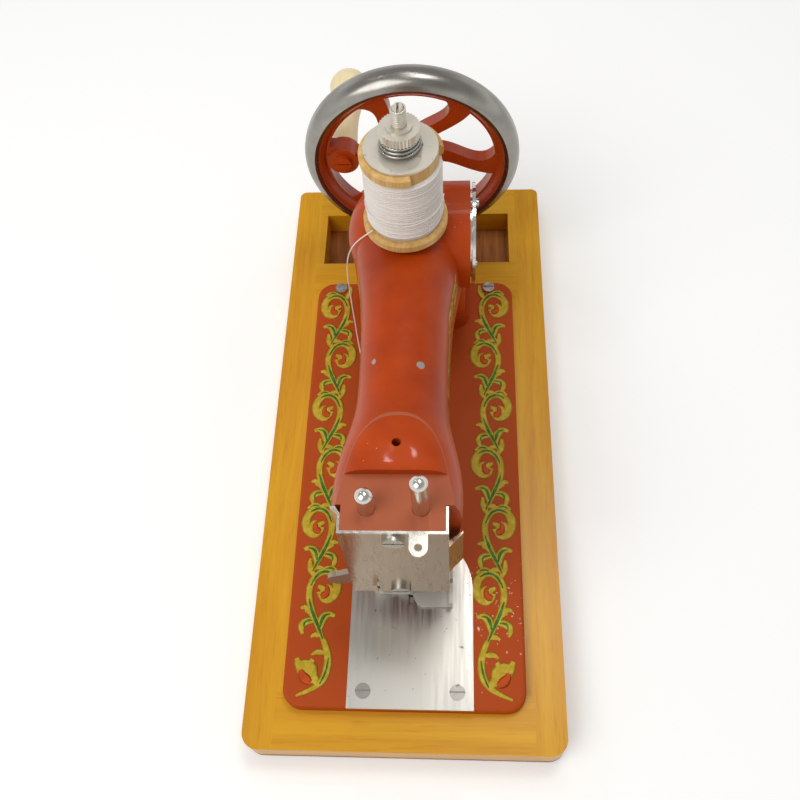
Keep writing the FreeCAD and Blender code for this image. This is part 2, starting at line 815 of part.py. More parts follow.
def slab(width, depth, radius, low, high):
    return prism(rounded(-(width / 2), width / 2, d.pillar_y - depth / 2, d.pillar_y + depth / 2,
                         radius, radius), (0, 0, low), high - low)


foot = slab(d.foot_width, d.foot_depth, d.bed_corner_radius, bed_top, bed_top + foot_rise)
column = slab(d.column_width, d.column_depth, d.bed_corner_radius, bed_top, d.shaft_height)
seat_boss = rod((0, d.spool_y, d.gear_room_top), d.spool_seat_radius, d.spool_seat - d.gear_room_top)
screw_boss_half = d.face_screw_head_radius + d.sheet_thickness
chin_boss = box((d.face_screw_x - screw_boss_half, d.head_front, d.face_screw_lower - d.face_screw_head_radius),
                (d.face_screw_x + screw_boss_half, d.head_front + d.face_screw_length + d.free_gap,
                 d.head_room_floor))
casting_blank = weld(solid(arm_loft()), drum, column, foot, seat_boss, chin_boss)

channel_front = d.head_room_back + d.front_bush_length - d.channel_lap
channel_back = d.pillar_y - d.column_depth / 2
channel = box((-(d.arm_channel_width / 2), channel_front, bed_top),
              (d.arm_channel_width / 2, channel_back, d.arm_channel_top))
gear_room = box((-room_half, room_front, bed_top), (room_half, room_back, d.gear_room_top))
window = rod((room_half - d.cut_over, d.pillar_y, d.shaft_height), d.side_window_radius,
             drum_half - room_half + d.cut_over, ALONG_X)
head_room = box((-(d.head_room_width / 2), d.head_front, d.head_room_floor),
                (d.head_room_width / 2, d.head_room_back, d.head_room_top))
deck = prism(rounded(-d.deck_left - d.head_width, d.deck_right + d.head_width, d.head_front - HEAD_LENGTH,
                     d.deck_back, d.deck_corner_radius, d.deck_corner_radius),
             (0, 0, d.deck_height), d.head_top)
cheek_left = box((-d.head_width, d.head_front - d.cut_over, 0),
                 (-d.deck_left, d.cheek_back, d.deck_height + d.cut_far))
cheek_right = box((d.deck_right, d.head_front - d.cut_over, 0),
                  (d.head_width, d.cheek_back, d.deck_height + d.cut_far))
front_bush_start = d.head_room_back - d.bush_lip
bores = [
    rod((0, front_bush_start, d.shaft_height), d.bush_radius + d.fit_gap, d.front_bush_length, ALONG_Y),
    rod((0, channel_back - d.cut_over, d.shaft_height), d.shaft_radius + d.shaft_room,
        room_front - channel_back + d.cut_over * 2, ALONG_Y),
    rod((0, room_back, d.shaft_height), d.bush_radius + d.fit_gap, d.rear_bush_length + d.cut_far, ALONG_Y),
    rod((0, d.oil_hole_y, d.shaft_height + d.bush_radius), d.oil_hole_radius, d.head_top, UPRIGHT),
    rod((d.needle_x, d.bar_y, d.head_bottom - d.cut_far), d.bar_radius + d.run_gap, d.head_top),
    rod((d.presser_x, d.bar_y, d.head_bottom - d.cut_far), d.bar_radius + d.run_gap, d.head_top),
    rod((0, d.spool_y, d.spool_seat - d.spool_pin_root), d.spool_pin_radius + d.fit_gap, d.spool_pin_root),
]
for x, z in (upper_idler, lower_idler):
    bores.append(rod((x, axle_start, z), d.idler_axle_radius + d.fit_gap, axle_length, ALONG_Y))
for at in bolt_places(bed_top):
    bores.append(rod(at, d.pillar_bolt_radius + d.fit_gap, d.pillar_bolt_reach + d.fit_gap))
face_screw_places = [(d.face_screw_x, d.head_front - d.sheet_thickness, z)
                     for z in (d.face_screw_upper, d.face_screw_lower)]
INTO_FACE = FreeCAD.Rotation(V(1, 0, 0), 90)


def face_screw_holes():
    return [rod((x, y, z), d.face_screw_radius + d.fit_gap, d.face_screw_length + d.fit_gap, ALONG_Y)
            for x, y, z in face_screw_places]


side_screw_places = [(drum_half + d.side_cover_standoff + d.side_cover_thickness, d.pillar_y,
                      d.shaft_height + shift)
                     for shift in (-d.side_screw_pitch_radius, d.side_screw_pitch_radius)]


def side_screw_holes():
    return [rod((x - d.side_screw_length - d.fit_gap, y, z), d.side_screw_radius + d.fit_gap,
                d.side_screw_length + d.fit_gap, ALONG_X) for x, y, z in side_screw_places]


# Slot in the head's left wall where the presser lifter swings on its pin
lifter_y = d.bar_y - d.bar_radius - d.lifter_thickness / 2 - d.free_gap * 2
lifter_low = lifter_y - d.lifter_thickness / 2
lifter_slot_half = d.lifter_thickness / 2 + d.free_gap
lifter_slot_right = d.lifter_pin_x + d.lifter_hub_radius + d.free_gap
lifter_slot_top = d.lifter_pin_z + d.lifter_hub_radius * 3
lifter_slot = box((-d.head_width, lifter_y - lifter_slot_half, d.head_bottom - d.cut_over),
                  (lifter_slot_right, lifter_y + lifter_slot_half, lifter_slot_top))
lifter_pin_start = d.head_front + d.free_gap
lifter_pin_length = d.cheek_back - d.head_front
lifter_pin_hole = rod((d.lifter_pin_x, lifter_pin_start, d.lifter_pin_z), d.lifter_pin_radius + d.fit_gap,
                      lifter_pin_length, ALONG_Y)
casting_cuts = [channel, gear_room, window, head_room, deck, cheek_left, cheek_right, lifter_slot,
                lifter_pin_hole]
casting = casting_blank
for tool in casting_cuts + bores + face_screw_holes() + side_screw_holes():
    casting = cut(casting, tool)
node(casting, "arm_casting")
node(group(*[slotted(d.pillar_bolt_head_radius, d.pillar_bolt_head_height, d.pillar_bolt_radius,
                     d.bed_wall + d.pillar_bolt_reach, at, FreeCAD.Rotation(V(1, 0, 0), 180))
             for at in bolt_places(bed_under)]), "pillar_bolts")

# Round side cover: a thin disc on a spigot, a little clear of the drum
cover_start = drum_half + d.side_cover_standoff
spigot_radius = d.side_window_radius - d.fit_gap
spigot_start = cover_start - d.side_spigot_length
side_disc = rod((cover_start, d.pillar_y, d.shaft_height), d.side_cover_radius, d.side_cover_thickness, ALONG_X)
spigot = rod((spigot_start, d.pillar_y, d.shaft_height), spigot_radius, d.side_spigot_length, ALONG_X)
spigot_hollow = rod((spigot_start, d.pillar_y, d.shaft_height), spigot_radius - d.side_cover_thickness,
                    d.side_spigot_length, ALONG_X)
node(cut(fuse(side_disc, spigot), spigot_hollow, *side_screw_holes()), "side_cover")
node(group(*[slotted(d.side_screw_head_radius, d.side_cover_thickness, d.side_screw_radius,
                     d.side_screw_length, at, ALONG_X) for at in side_screw_places]), "side_cover_screws")

# Face cover: one bent sheet over the head's front, with an eye tab, a hook and a side wing
sheet_front = d.head_front - d.sheet_thickness
leg_back = d.head_front + d.face_leg
left_in = -d.deck_left - d.fit_gap
left_out = left_in - d.sheet_thickness
right_in = d.deck_right + d.fit_gap
right_out = right_in + d.sheet_thickness
lip = d.face_lip
u_outline = [
    (left_out, sheet_front),
    (right_out, sheet_front),
    (right_out, leg_back),
    (right_in, leg_back),
    (right_in, d.head_front),
    (left_in, d.head_front),
    (left_in, leg_back - lip),
    (left_in - lip * 0.7, leg_back),
    (left_out - lip, leg_back - d.sheet_thickness / 2),
    (left_out, leg_back - lip - d.sheet_thickness / 2),
]
face_height = d.deck_height - d.face_bottom
u_sheet = prism(u_outline, (0, 0, d.face_bottom), face_height)
wing_back = leg_back - d.sheet_thickness
wing_outline = [
    (right_in, wing_back - d.wing_width),
    (right_out, wing_back - d.wing_width),
    (right_out + d.wing_width * 0.8, wing_back - d.sheet_thickness),
    (right_out + d.wing_width * 0.8, wing_back),
    (right_in, wing_back - d.wing_width + d.sheet_thickness * 2),
]
wing = prism(wing_outline, (0, 0, d.wing_bottom), d.wing_top - d.wing_bottom)
eye_right = d.eye_tab_left + d.eye_tab_width
eye_round = d.eye_tab_width / 2
eye_x = d.eye_tab_left + eye_round
eye_y = sheet_front - d.eye_tab_length + eye_round
eye_tab = prism(
    [(d.eye_tab_left, eye_y), (eye_x, eye_y - eye_round, eye_round, 1), (eye_right, eye_y, eye_round, 1),
     (eye_right, d.head_front), (d.eye_tab_left, d.head_front)],
    (0, 0, d.deck_height - d.sheet_thickness), d.sheet_thickness)
eye_hole = rod((eye_x, eye_y, d.face_bottom), d.eye_radius, face_height)
hook_left = d.hook_x - d.hook_width / 2
hook_right = d.hook_x + d.hook_width / 2
hook_top = d.hook_bottom + d.hook_length
hook_front = sheet_front - d.hook_standoff - d.sheet_thickness
hook_tongue = box((hook_left, hook_front, d.hook_bottom), (hook_right, hook_front + d.sheet_thickness, hook_top))
hook_root = box((hook_left, hook_front, hook_top - d.sheet_thickness), (hook_right, d.head_front, hook_top))
hook_gap = box((hook_left - d.free_gap, sheet_front, d.hook_bottom - d.free_gap),
               (hook_right + d.free_gap, d.head_front, hook_top - d.sheet_thickness))
lifter_notch = box((left_out - lip * 2, d.head_front, d.face_bottom), (left_in, leg_back, lifter_slot_top))
sheet_metal = cut(fuse(u_sheet, wing, eye_tab), eye_hole, hook_gap, lifter_notch, *face_screw_holes())
node(fuse(sheet_metal, hook_tongue, hook_root), "face_cover")
node(group(*[slotted(d.face_screw_head_radius, d.face_screw_head_height, d.face_screw_radius,
                     d.face_screw_length, at, INTO_FACE) for at in face_screw_places]), "face_cover_screws")

# Main shaft in its bushes, with the crank disc
bush_front = front_bush_start
rear_bush_back = room_back + d.rear_bush_length
disc_back = bush_front - d.free_gap
disc_front = disc_back - d.crank_disc_length
yoke_front = d.bar_y + d.collar_radius + d.free_gap
yoke_back = yoke_front + d.yoke_thickness
hub_front = rear_bush_back + d.free_gap
hub_back = d.wheel_y + d.hub_back
node(bush((0, bush_front, d.shaft_height), d.bush_radius, d.shaft_radius, d.front_bush_length), "front_bush")
node(bush((0, room_back, d.shaft_height), d.bush_radius, d.shaft_radius, d.rear_bush_length), "rear_bush")
shaft_end = hub_back + d.wheel_nut_length - d.sheet_thickness
node(rod((0, disc_front, d.shaft_height), d.shaft_radius, shaft_end - disc_front, ALONG_Y), "main_shaft")
crank_z = d.shaft_height + d.crank_radius
crank_plate = cut(rod((0, disc_front, d.shaft_height), d.crank_disc_radius, d.crank_disc_length, ALONG_Y),
                  rod((0, disc_front, d.shaft_height), d.shaft_radius + d.fit_gap, d.crank_disc_length, ALONG_Y))
crank_pin_front = yoke_back + d.free_gap
crank_pin = rod((0, crank_pin_front, crank_z), d.crank_pin_radius, disc_front - crank_pin_front + d.cut_over, ALONG_Y)
node(fuse(crank_plate, crank_pin), "crank_disc")

# Handwheel: a heavy rounded rim, curved spokes, a hub, and a boss for the handle
rim_mid = d.wheel_radius - d.rim_height / 2
rim_inner = d.wheel_radius - d.rim_height
rim_half = d.rim_width / 2
rim = turned(
    [(rim_inner, -(d.web_width / 2)), (rim_mid, -rim_half, d.rim_width * 0.56, 1),
     (d.wheel_radius, 0, d.rim_width * 0.48, 1), (rim_mid, rim_half, d.rim_width * 0.48, 1),
     (rim_inner, d.web_width / 2, d.rim_width * 0.56, 1)],
    (0, d.wheel_y, d.shaft_height), ALONG_Y)
web = turned(
    [(rim_inner - d.web_depth, -(d.web_width / 2)), (rim_inner + d.web_depth / 2, -(d.web_width / 2)),
     (rim_inner + d.web_depth / 2, d.web_width / 2), (rim_inner - d.web_depth, d.web_width / 2)],
    (0, d.wheel_y, d.shaft_height), ALONG_Y)
hub = rod((0, hub_front, d.shaft_height), d.hub_radius, hub_back - hub_front, ALONG_Y)


def spoke(angle):
    """An S-shaped spoke from the hub to the rim, drawn along +X and then turned."""
    start = number(d.hub_radius) * 0.6
    reach = number(rim_inner) - number(d.web_depth) / 2 - start
    half = number(d.spoke_width) / 2
    wave = number(d.spoke_wave)
    depth = number(d.spoke_thickness)

    def edge(side):
        spots = [V(start + reach * share, -depth / 2, sway + half * side * flare)
                 for share, sway, flare in ((0, 0, 1.3), (0.27, wave, 0.92), (0.52, 0, 0.85),
                                            (0.77, -wave, 0.92), (1, -wave * 0.2, 1.9))]
        curve = Part.BSplineCurve()
        curve.interpolate(spots)
        return curve.toShape(), spots[0], spots[-1]

    upper, upper_start, upper_end = edge(1)
    lower, lower_start, lower_end = edge(-1)
    ends = [Part.makeLine(upper_end, lower_end), Part.makeLine(lower_start, upper_start)]
    face = Part.Face(Part.Wire(Part.__sortEdges__([upper, lower] + ends)))
    blade = solid(face.extrude(V(0, depth, 0)))
    return place(blade, (0, d.wheel_y, d.shaft_height), FreeCAD.Rotation(V(0, -1, 0), angle))


spokes = [spoke(SPOKE_ANGLE + index * 360 / WHEEL_SPOKES) for index in range(WHEEL_SPOKES)]
handle_turn = math.radians(HANDLE_ANGLE)
handle_x = d.handle_reach * math.cos(handle_turn)
handle_z = d.shaft_height + d.handle_reach * math.sin(handle_turn)
boss_front = d.wheel_y - d.handle_boss_length / 2
boss_back = d.wheel_y + d.handle_boss_length / 2
boss = rod((handle_x, boss_front, handle_z), d.handle_boss_radius, d.handle_boss_length, ALONG_Y)
axle_hole = rod((handle_x, boss_front, handle_z), d.handle_axle_radius + d.fit_gap, d.handle_boss_length, ALONG_Y)
shaft_hole = rod((0, hub_front, d.shaft_height), d.shaft_radius + d.fit_gap, hub_back - hub_front, ALONG_Y)
wheel_blank = fuse(rim, web, hub, boss, *spokes)
node(cut(wheel_blank, shaft_hole, axle_hole), "handwheel")
node(cut(rod((0, hub_back, d.shaft_height), d.wheel_nut_radius, d.wheel_nut_length, ALONG_Y),
         rod((0, hub_back, d.shaft_height), d.shaft_radius + d.fit_gap, d.wheel_nut_length - d.sheet_thickness,
             ALONG_Y)), "wheel_nut")

# Handle grip, free to turn on a screw through the boss
grip_start = boss_back + d.free_gap
grip_waist = d.handle_length * 0.35
grip_swell = d.handle_length - d.handle_bulb_radius
grip = turned(
    [(0, 0), (d.handle_neck_radius * 1.1, 0), (d.handle_neck_radius, grip_waist, d.handle_length * 3, -1),
     (d.handle_bulb_radius, grip_swell, d.handle_length * 2, -1),
     (0, d.handle_length, d.handle_bulb_radius, 1)],
    (handle_x, grip_start, handle_z), ALONG_Y)
axle_reach = grip_swell
node(cut(grip, rod((handle_x, grip_start, handle_z), d.handle_axle_radius + d.run_gap, axle_reach + d.free_gap,
                   ALONG_Y)), "handle_grip")
node(slotted(d.handle_head_radius, d.handle_head_height, d.handle_axle_radius,
             axle_reach + d.handle_boss_length + d.free_gap, (handle_x, boss_front, handle_z), INTO_FACE),
     "handle_axle")

# Needle bar with its yoke, clamp and needle, at the top of the stroke
DOME_RISE = 0.6
DOME_RADIUS = (1 + DOME_RISE ** 2) / (2 * DOME_RISE)


def domed_bar(x, low, high):
    return turned(
        [(0, low), (d.bar_radius, low), (d.bar_radius, high - d.bar_radius * DOME_RISE),
         (0, high, d.bar_radius * DOME_RADIUS, 1)], (x, d.bar_y, 0))


needle_seat = rod((d.needle_x, d.bar_y, d.needle_bar_bottom), d.needle_radius + d.fit_gap, d.needle_seat)
node(cut(domed_bar(d.needle_x, d.needle_bar_bottom, d.needle_bar_top), needle_seat), "needle_bar")
node(turned([(0, d.needle_tip), (d.needle_radius, d.needle_tip + d.needle_point),
             (d.needle_radius, d.needle_bar_bottom + d.needle_seat), (0, d.needle_bar_bottom + d.needle_seat)],
            (d.needle_x, d.bar_y, 0)), "needle")
clamp_ring = rod((d.needle_x, d.bar_y, d.needle_bar_bottom), d.clamp_radius, d.clamp_height)
clamp_bore = rod((d.needle_x, d.bar_y, d.needle_bar_bottom), d.bar_radius + d.fit_gap, d.clamp_height)
node(cut(clamp_ring, clamp_bore), "needle_clamp")
yoke_low = crank_z - d.yoke_height / 2
yoke_high = crank_z + d.yoke_height / 2
yoke_reach = d.crank_radius + d.crank_pin_radius + d.sheet_thickness
yoke_plate = box((-yoke_reach, yoke_front, yoke_low), (d.needle_x + d.bar_radius, yoke_back, yoke_high))
yoke_link = box((d.needle_x - d.bar_radius, d.bar_y, yoke_low), (d.needle_x + d.bar_radius, yoke_back, yoke_high))
yoke_boss = rod((d.needle_x, d.bar_y, yoke_low), d.yoke_boss_radius, d.yoke_height)
yoke_bore = rod((d.needle_x, d.bar_y, yoke_low), d.bar_radius + d.fit_gap, d.yoke_height)
node(cut(fuse(yoke_plate, yoke_link, yoke_boss), yoke_bore), "needle_bar_yoke")

# Presser bar, collar, spring and foot
node(domed_bar(d.presser_x, d.presser_bar_bottom, d.presser_bar_top), "presser_bar")


def sleeve(low, high, radius, bore):
    at = (d.presser_x, d.bar_y, low)
    return cut(rod(at, radius, high - low), rod(at, bore, high - low))


collar_top = d.collar_bottom + d.collar_height
node(sleeve(d.collar_bottom, collar_top, d.collar_radius, d.bar_radius + d.fit_gap), "presser_collar")
node(sleeve(collar_top, d.head_room_top, d.spring_radius, d.bar_radius + d.run_gap), "presser_spring")
sole_low = plate_top + d.foot_rest_gap
sole_high = sole_low + d.foot_thickness
post_radius = d.collar_radius
sole = prism(
    [(d.foot_left, d.foot_front + d.foot_corner_radius),
     (d.foot_left + d.foot_corner_radius, d.foot_front, d.foot_corner_radius, 1),
     (d.foot_right, d.foot_front), (d.foot_right, d.foot_back), (d.foot_left, d.foot_back)],
    (0, 0, sole_low), d.foot_thickness)
toe = box((d.foot_right - d.foot_thickness, d.foot_front, sole_low),
          (d.foot_right, d.foot_back, sole_high + d.foot_toe_height))
strip = box((d.presser_x, d.bar_y - post_radius, sole_low),
            (d.foot_left + d.foot_corner_radius, d.bar_y - d.foot_slot_width, sole_high))
guard = box((d.foot_left - d.foot_corner_radius, d.bar_y - post_radius, sole_low),
            (d.foot_left, d.bar_y - post_radius + d.foot_thickness, sole_high + d.foot_toe_height))
post = rod((d.presser_x, d.bar_y, sole_low), post_radius, d.foot_boss_top - sole_low)
post_bore = rod((d.presser_x, d.bar_y, d.presser_bar_bottom), d.bar_radius + d.fit_gap,
                d.foot_boss_top - d.presser_bar_bottom)
foot_slot = box((d.foot_slot_start, d.bar_y - d.foot_slot_width / 2, sole_low),
                (d.foot_right, d.bar_y + d.foot_slot_width / 2, sole_high + d.foot_toe_height))
foot_eye = rod((d.needle_x, d.bar_y, sole_low), d.needle_hole_radius, d.foot_thickness)
foot_screw_z = (d.foot_boss_top + d.presser_bar_bottom) / 2
foot_screw_reach = post_radius - d.bar_radius - d.fit_gap
OUT_LEFT = FreeCAD.Rotation(V(0, 1, 0), -90)
foot_screw_hole = rod((d.presser_x - post_radius, d.bar_y, foot_screw_z), d.foot_screw_radius + d.fit_gap,
                      post_radius - d.bar_radius, ALONG_X)
node(cut(fuse(sole, toe, strip, guard, post), post_bore, foot_slot, foot_eye, foot_screw_hole), "presser_foot")
node(slotted(d.foot_screw_head_radius, d.foot_screw_head_height, d.foot_screw_radius, foot_screw_reach,
             (d.presser_x - post_radius, d.bar_y, foot_screw_z), OUT_LEFT), "presser_foot_screw")

# Presser lifter on its pin
leaf_x = d.lifter_pin_x + d.lifter_reach_x
leaf_z = d.lifter_pin_z + d.lifter_reach_z
reach = math.hypot(number(d.lifter_reach_x), number(d.lifter_reach_z))
side_x = -number(d.lifter_reach_z) / reach
side_z = number(d.lifter_reach_x) / reach
neck_hub = d.lifter_hub_radius * 0.9
neck_leaf = d.lifter_leaf_radius * 0.9
lever = prism(
    [(d.lifter_pin_x + neck_hub * side_x, -(d.lifter_pin_z + neck_hub * side_z)),
     (d.lifter_pin_x - neck_hub * side_x, -(d.lifter_pin_z - neck_hub * side_z)),
     (leaf_x - neck_leaf * side_x, -(leaf_z - neck_leaf * side_z)),
     (leaf_x + neck_leaf * side_x, -(leaf_z + neck_leaf * side_z))],
    (0, lifter_low, 0), d.lifter_thickness, ALONG_Y)
lifter_hub = rod((d.lifter_pin_x, lifter_low, d.lifter_pin_z), d.lifter_hub_radius, d.lifter_thickness, ALONG_Y)
leaf = rod((leaf_x, lifter_low, leaf_z), d.lifter_leaf_radius, d.lifter_thickness, ALONG_Y)
lifter_bore = rod((d.lifter_pin_x, lifter_low, d.lifter_pin_z), d.lifter_pin_radius + d.run_gap,
                  d.lifter_thickness, ALONG_Y)
node(cut(fuse(lever, lifter_hub, leaf), lifter_bore), "presser_lifter")
node(rod((d.lifter_pin_x, lifter_pin_start, d.lifter_pin_z), d.lifter_pin_radius, lifter_pin_length, ALONG_Y),
     "lifter_pin")

# Spool on its pin, with a broken top flange
spool_low = d.spool_seat + d.stack_gap
spool_high = spool_low + d.spool_height
inside_low = spool_low + d.spool_flange
inside_high = spool_high - d.spool_flange
chamfer = d.spool_chamfer
spool_blank = turned(
    [(d.spool_bore_radius, spool_low), (d.spool_radius - chamfer, spool_low), (d.spool_radius, spool_low + chamfer),
     (d.spool_radius, inside_low - chamfer), (d.spool_radius - chamfer, inside_low),
     (d.spool_barrel_radius, inside_low), (d.spool_barrel_radius, inside_high),
     (d.spool_top_radius - chamfer, inside_high), (d.spool_top_radius, inside_high + chamfer),
     (d.spool_top_radius, spool_high - chamfer), (d.spool_top_radius - chamfer, spool_high),
     (d.spool_bore_radius, spool_high)],
    (0, d.spool_y, 0))
chip_wedge = rod((0, d.spool_y, inside_high), d.spool_top_radius * 1.2, d.spool_flange,
                 FreeCAD.Rotation(V(0, 0, 1), CHIP_ANGLES[0]))
chip_wedge.Angle = CHIP_ANGLES[1] - CHIP_ANGLES[0]
chip_core = rod((0, d.spool_y, inside_high), d.spool_chip_radius, d.spool_flange)
node(cut(spool_blank, cut(chip_wedge, chip_core)), "spool")
pin_tip = d.spool_pin_radius * 0.62
spool_pin = turned(
    [(0, d.spool_seat - d.spool_pin_root), (d.spool_pin_radius, d.spool_seat - d.spool_pin_root),
     (d.spool_pin_radius, d.spool_pin_top - d.spool_pin_radius), (pin_tip, d.spool_pin_top),
     (0, d.spool_pin_top)], (0, d.spool_y, 0))
tip_slot = box((-(d.slot_width / 2), d.spool_y - d.spool_pin_radius, d.spool_pin_top - d.spool_pin_radius),
               (d.slot_width / 2, d.spool_y + d.spool_pin_radius, d.spool_pin_top))
node(cut(spool_pin, tip_slot), "spool_pin")
washer_low = spool_high + d.stack_gap
washer_high = washer_low + d.washer_thickness
node(cut(rod((0, d.spool_y, washer_low), d.washer_radius, d.washer_thickness),
         rod((0, d.spool_y, washer_low), d.spool_pin_radius + d.run_gap, d.washer_thickness)), "spool_washer")


def arc_to(start, corner, end):
    """The arc from start to end that leaves start towards corner and reaches end from it."""
    half = (end - start).Length / 2
    middle = (start + end) / 2
    rise = half * math.tan(math.atan2((corner - middle).Length, half) / 2)
    return Part.Arc(start, middle + (corner - middle).normalize() * rise, end).toShape()


def biarc(start, leaving, end, arriving):
    gap = end - start
    both = leaving + arriving
    bend = 2 * (1 - leaving.dot(arriving))
    run = gap.dot(both)
    step = (math.sqrt(run ** 2 + bend * gap.dot(gap)) - run) / bend
    first = start + leaving * step
    second = end - arriving * step
    join = (first + second) / 2
    return [arc_to(start, first, join), arc_to(join, second, end)]


def coil(name, spot, heading, quarters, radius):
    """One unbroken round tube on biarcs of a quarter turn, straight for a diameter at each end."""
    points = [spot(step / 4) for step in range(quarters + 1)]
    headings = [heading(step / 4) for step in range(quarters + 1)]
    run = radius * 2
    edges = [Part.makeLine(points[0] - headings[0] * run, points[0])]
    for step in range(quarters):
        edges += biarc(points[step], headings[step], points[step + 1], headings[step + 1])
    edges.append(Part.makeLine(points[-1], points[-1] + headings[-1] * run))
    path = Part.Wire(edges)
    ring = Part.Wire(Part.makeCircle(radius, points[0] - headings[0] * run, headings[0]))
    tube = path.makePipeShell([ring], True, False)
    dots = [spot(step / 16) for step in range(quarters * 4 + 1)]
    near = min((a - b).Length for i, a in enumerate(dots) for b in dots[i + 9:])
    print(name, "least gap to itself", round(near - 2 * radius, 3), "volume over section times length",
          round(tube.Volume / (math.pi * radius ** 2 * path.Length), 4))
    return solid(tube)


def helix(low_radius, high_radius, low, pitch, turns, start_angle):
    """Point and heading of a rising helix as functions of the turns made."""
    def spot(turn):
        radius = low_radius + (high_radius - low_radius) * turn / turns
        angle = math.radians(start_angle + 360 * turn)
        return V(radius * math.cos(angle), number(d.spool_y) + radius * math.sin(angle), low + pitch * turn)

    def heading(turn):
        radius = low_radius + (high_radius - low_radius) * turn / turns
        angle = math.radians(start_angle + 360 * turn)
        swell = (high_radius - low_radius) / turns
        around = 2 * math.pi * radius
        return V(swell * math.cos(angle) - around * math.sin(angle),
                 swell * math.sin(angle) + around * math.cos(angle), pitch).normalize()

    return spot, heading


SPRING_START = 180.0
spring_low = washer_high + d.stack_gap + d.spring_wire_radius
spring_high = spring_low + d.spring_pitch * SPRING_TURNS
spring_spot, spring_heading = helix(number(d.spring_low_radius), number(d.spring_high_radius),
                                    number(spring_low), number(d.spring_pitch), SPRING_TURNS, SPRING_START)
node(coil("tension_spring", spring_spot, spring_heading, SPRING_TURNS * 4, number(d.spring_wire_radius)),
     "tension_spring")

# Knurled tension nut
nut_low = spring_high + d.spring_wire_radius + d.stack_gap
KNURL_DEPTH = 0.93


def knurled_disc():
    points = []
    for step in range(NUT_KNURLS * 2):
        radius = number(d.nut_radius) * (1 if step % 2 else KNURL_DEPTH)
        angle = math.pi * step / NUT_KNURLS
        points.append(V(radius * math.cos(angle), radius * math.sin(angle), 0))
    return Part.Face(Part.makePolygon(points + points[:1])).extrude(V(0, 0, number(d.nut_height)))


nut_disc = place(solid(knurled_disc()), (0, d.spool_y, nut_low))
nut_collar = rod((0, d.spool_y, nut_low), d.nut_collar_radius, d.nut_height + d.nut_collar_height)
nut_bore = rod((0, d.spool_y, nut_low), d.spool_pin_radius + d.run_gap, d.nut_height + d.nut_collar_height)
node(cut(fuse(nut_disc, nut_collar), nut_bore), "tension_nut")

# Thread on the spool: a plain core and one outer layer of turns
core_radius = d.winding_radius - d.thread_radius - d.fit_gap
core_at = (0, d.spool_y, inside_low + d.fit_gap)
core_height = inside_high - inside_low - d.fit_gap * 2
node(cut(rod(core_at, core_radius, core_height), rod(core_at, d.spool_barrel_radius + d.fit_gap, core_height)),
     "thread_core")
winding_room = number(inside_high - inside_low) - 4 * number(d.thread_radius)
MOST_TURNS = 24
winding_turns = min(MOST_TURNS, int(winding_room / number(d.winding_pitch)))
winding_low = number(inside_low) + (number(inside_high - inside_low) - winding_turns * number(d.winding_pitch)) / 2
WINDING_START = 225.0
winding_spot, winding_heading = helix(number(d.winding_radius), number(d.winding_radius), winding_low,
                                      number(d.winding_pitch), winding_turns, WINDING_START)
node(coil("thread_winding", winding_spot, winding_heading, winding_turns * 4, number(d.thread_radius)),
     "thread_winding")

# Free end of the thread: off the spool, over the arm's left shoulder, down to the bed
TAIL_ROUTE = [
    V(-11.4, 36.2, 95.4),
    V(-15.0, 36.8, 91.6),
    V(-19.0, 37.4, 86.6),
    V(-22.0, 37.6, 80.0),
    V(-23.4, 37.4, 71.0),
    V(-23.6, 37.0, 60.0),
    V(-23.6, 36.4, 48.0),
    V(-23.4, 35.6, 36.0),
    V(-23.0, 33.4, 26.4),
    V(-22.0, 29.0, 21.2),
    V(-20.0, 22.0, 20.0),
    V(-17.6, 14.0, 19.8),
]
FILLET_SHARE = 0.45


def cord(name, route, radius):
    """A tube of straight runs joined by arcs as large as the runs allow."""
    edges = []
    radii = []
    last = route[0]
    for before, corner, after in zip(route, route[1:], route[2:]):
        arriving = corner - before
        leaving = after - corner
        back = FILLET_SHARE * min(arriving.Length, leaving.Length)
        turn = arriving.getAngle(leaving)
        radii.append(back / math.tan(turn / 2))
        start = corner - arriving.normalize() * back
        end = corner + leaving.normalize() * back
        edges += [Part.makeLine(last, start), arc_to(start, corner, end)]
        last = end
    edges.append(Part.makeLine(last, route[-1]))
    path = Part.Wire(edges)
    ring = Part.Wire(Part.makeCircle(radius, route[0], route[1] - route[0]))
    tube = path.makePipeShell([ring], True, False)
    print(name, "length", round(path.Length, 2), "radii", [round(value, 1) for value in radii],
          "volume over section times length", round(tube.Volume / (math.pi * radius ** 2 * path.Length), 4))
    return solid(tube)


node(cord("thread_tail", TAIL_ROUTE, number(d.tail_radius)), "thread_tail")

# Check every piece, then write it
doc.recompute()
for obj in doc.Objects:
    if "Invalid" in obj.State or "Error" in obj.State:
        raise RuntimeError("failed feature: " + obj.Label)
for obj in nodes:
    if obj.Shape.isNull() or not obj.Shape.isValid() or not obj.Shape.Solids:
        raise RuntimeError("bad shape: " + obj.Label)
for obj in nodes:
    obj.Shape.exportStep("parts/%s.step" % obj.Label)
print(len(nodes), "nodes written")
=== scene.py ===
"""Finishes and fine pieces of a small hand-cranked sewing machine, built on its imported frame."""
import json
import math

import bmesh
import bpy
from bpy.props import FloatProperty, FloatVectorProperty, IntProperty, PointerProperty
from mathutils import Matrix, Vector


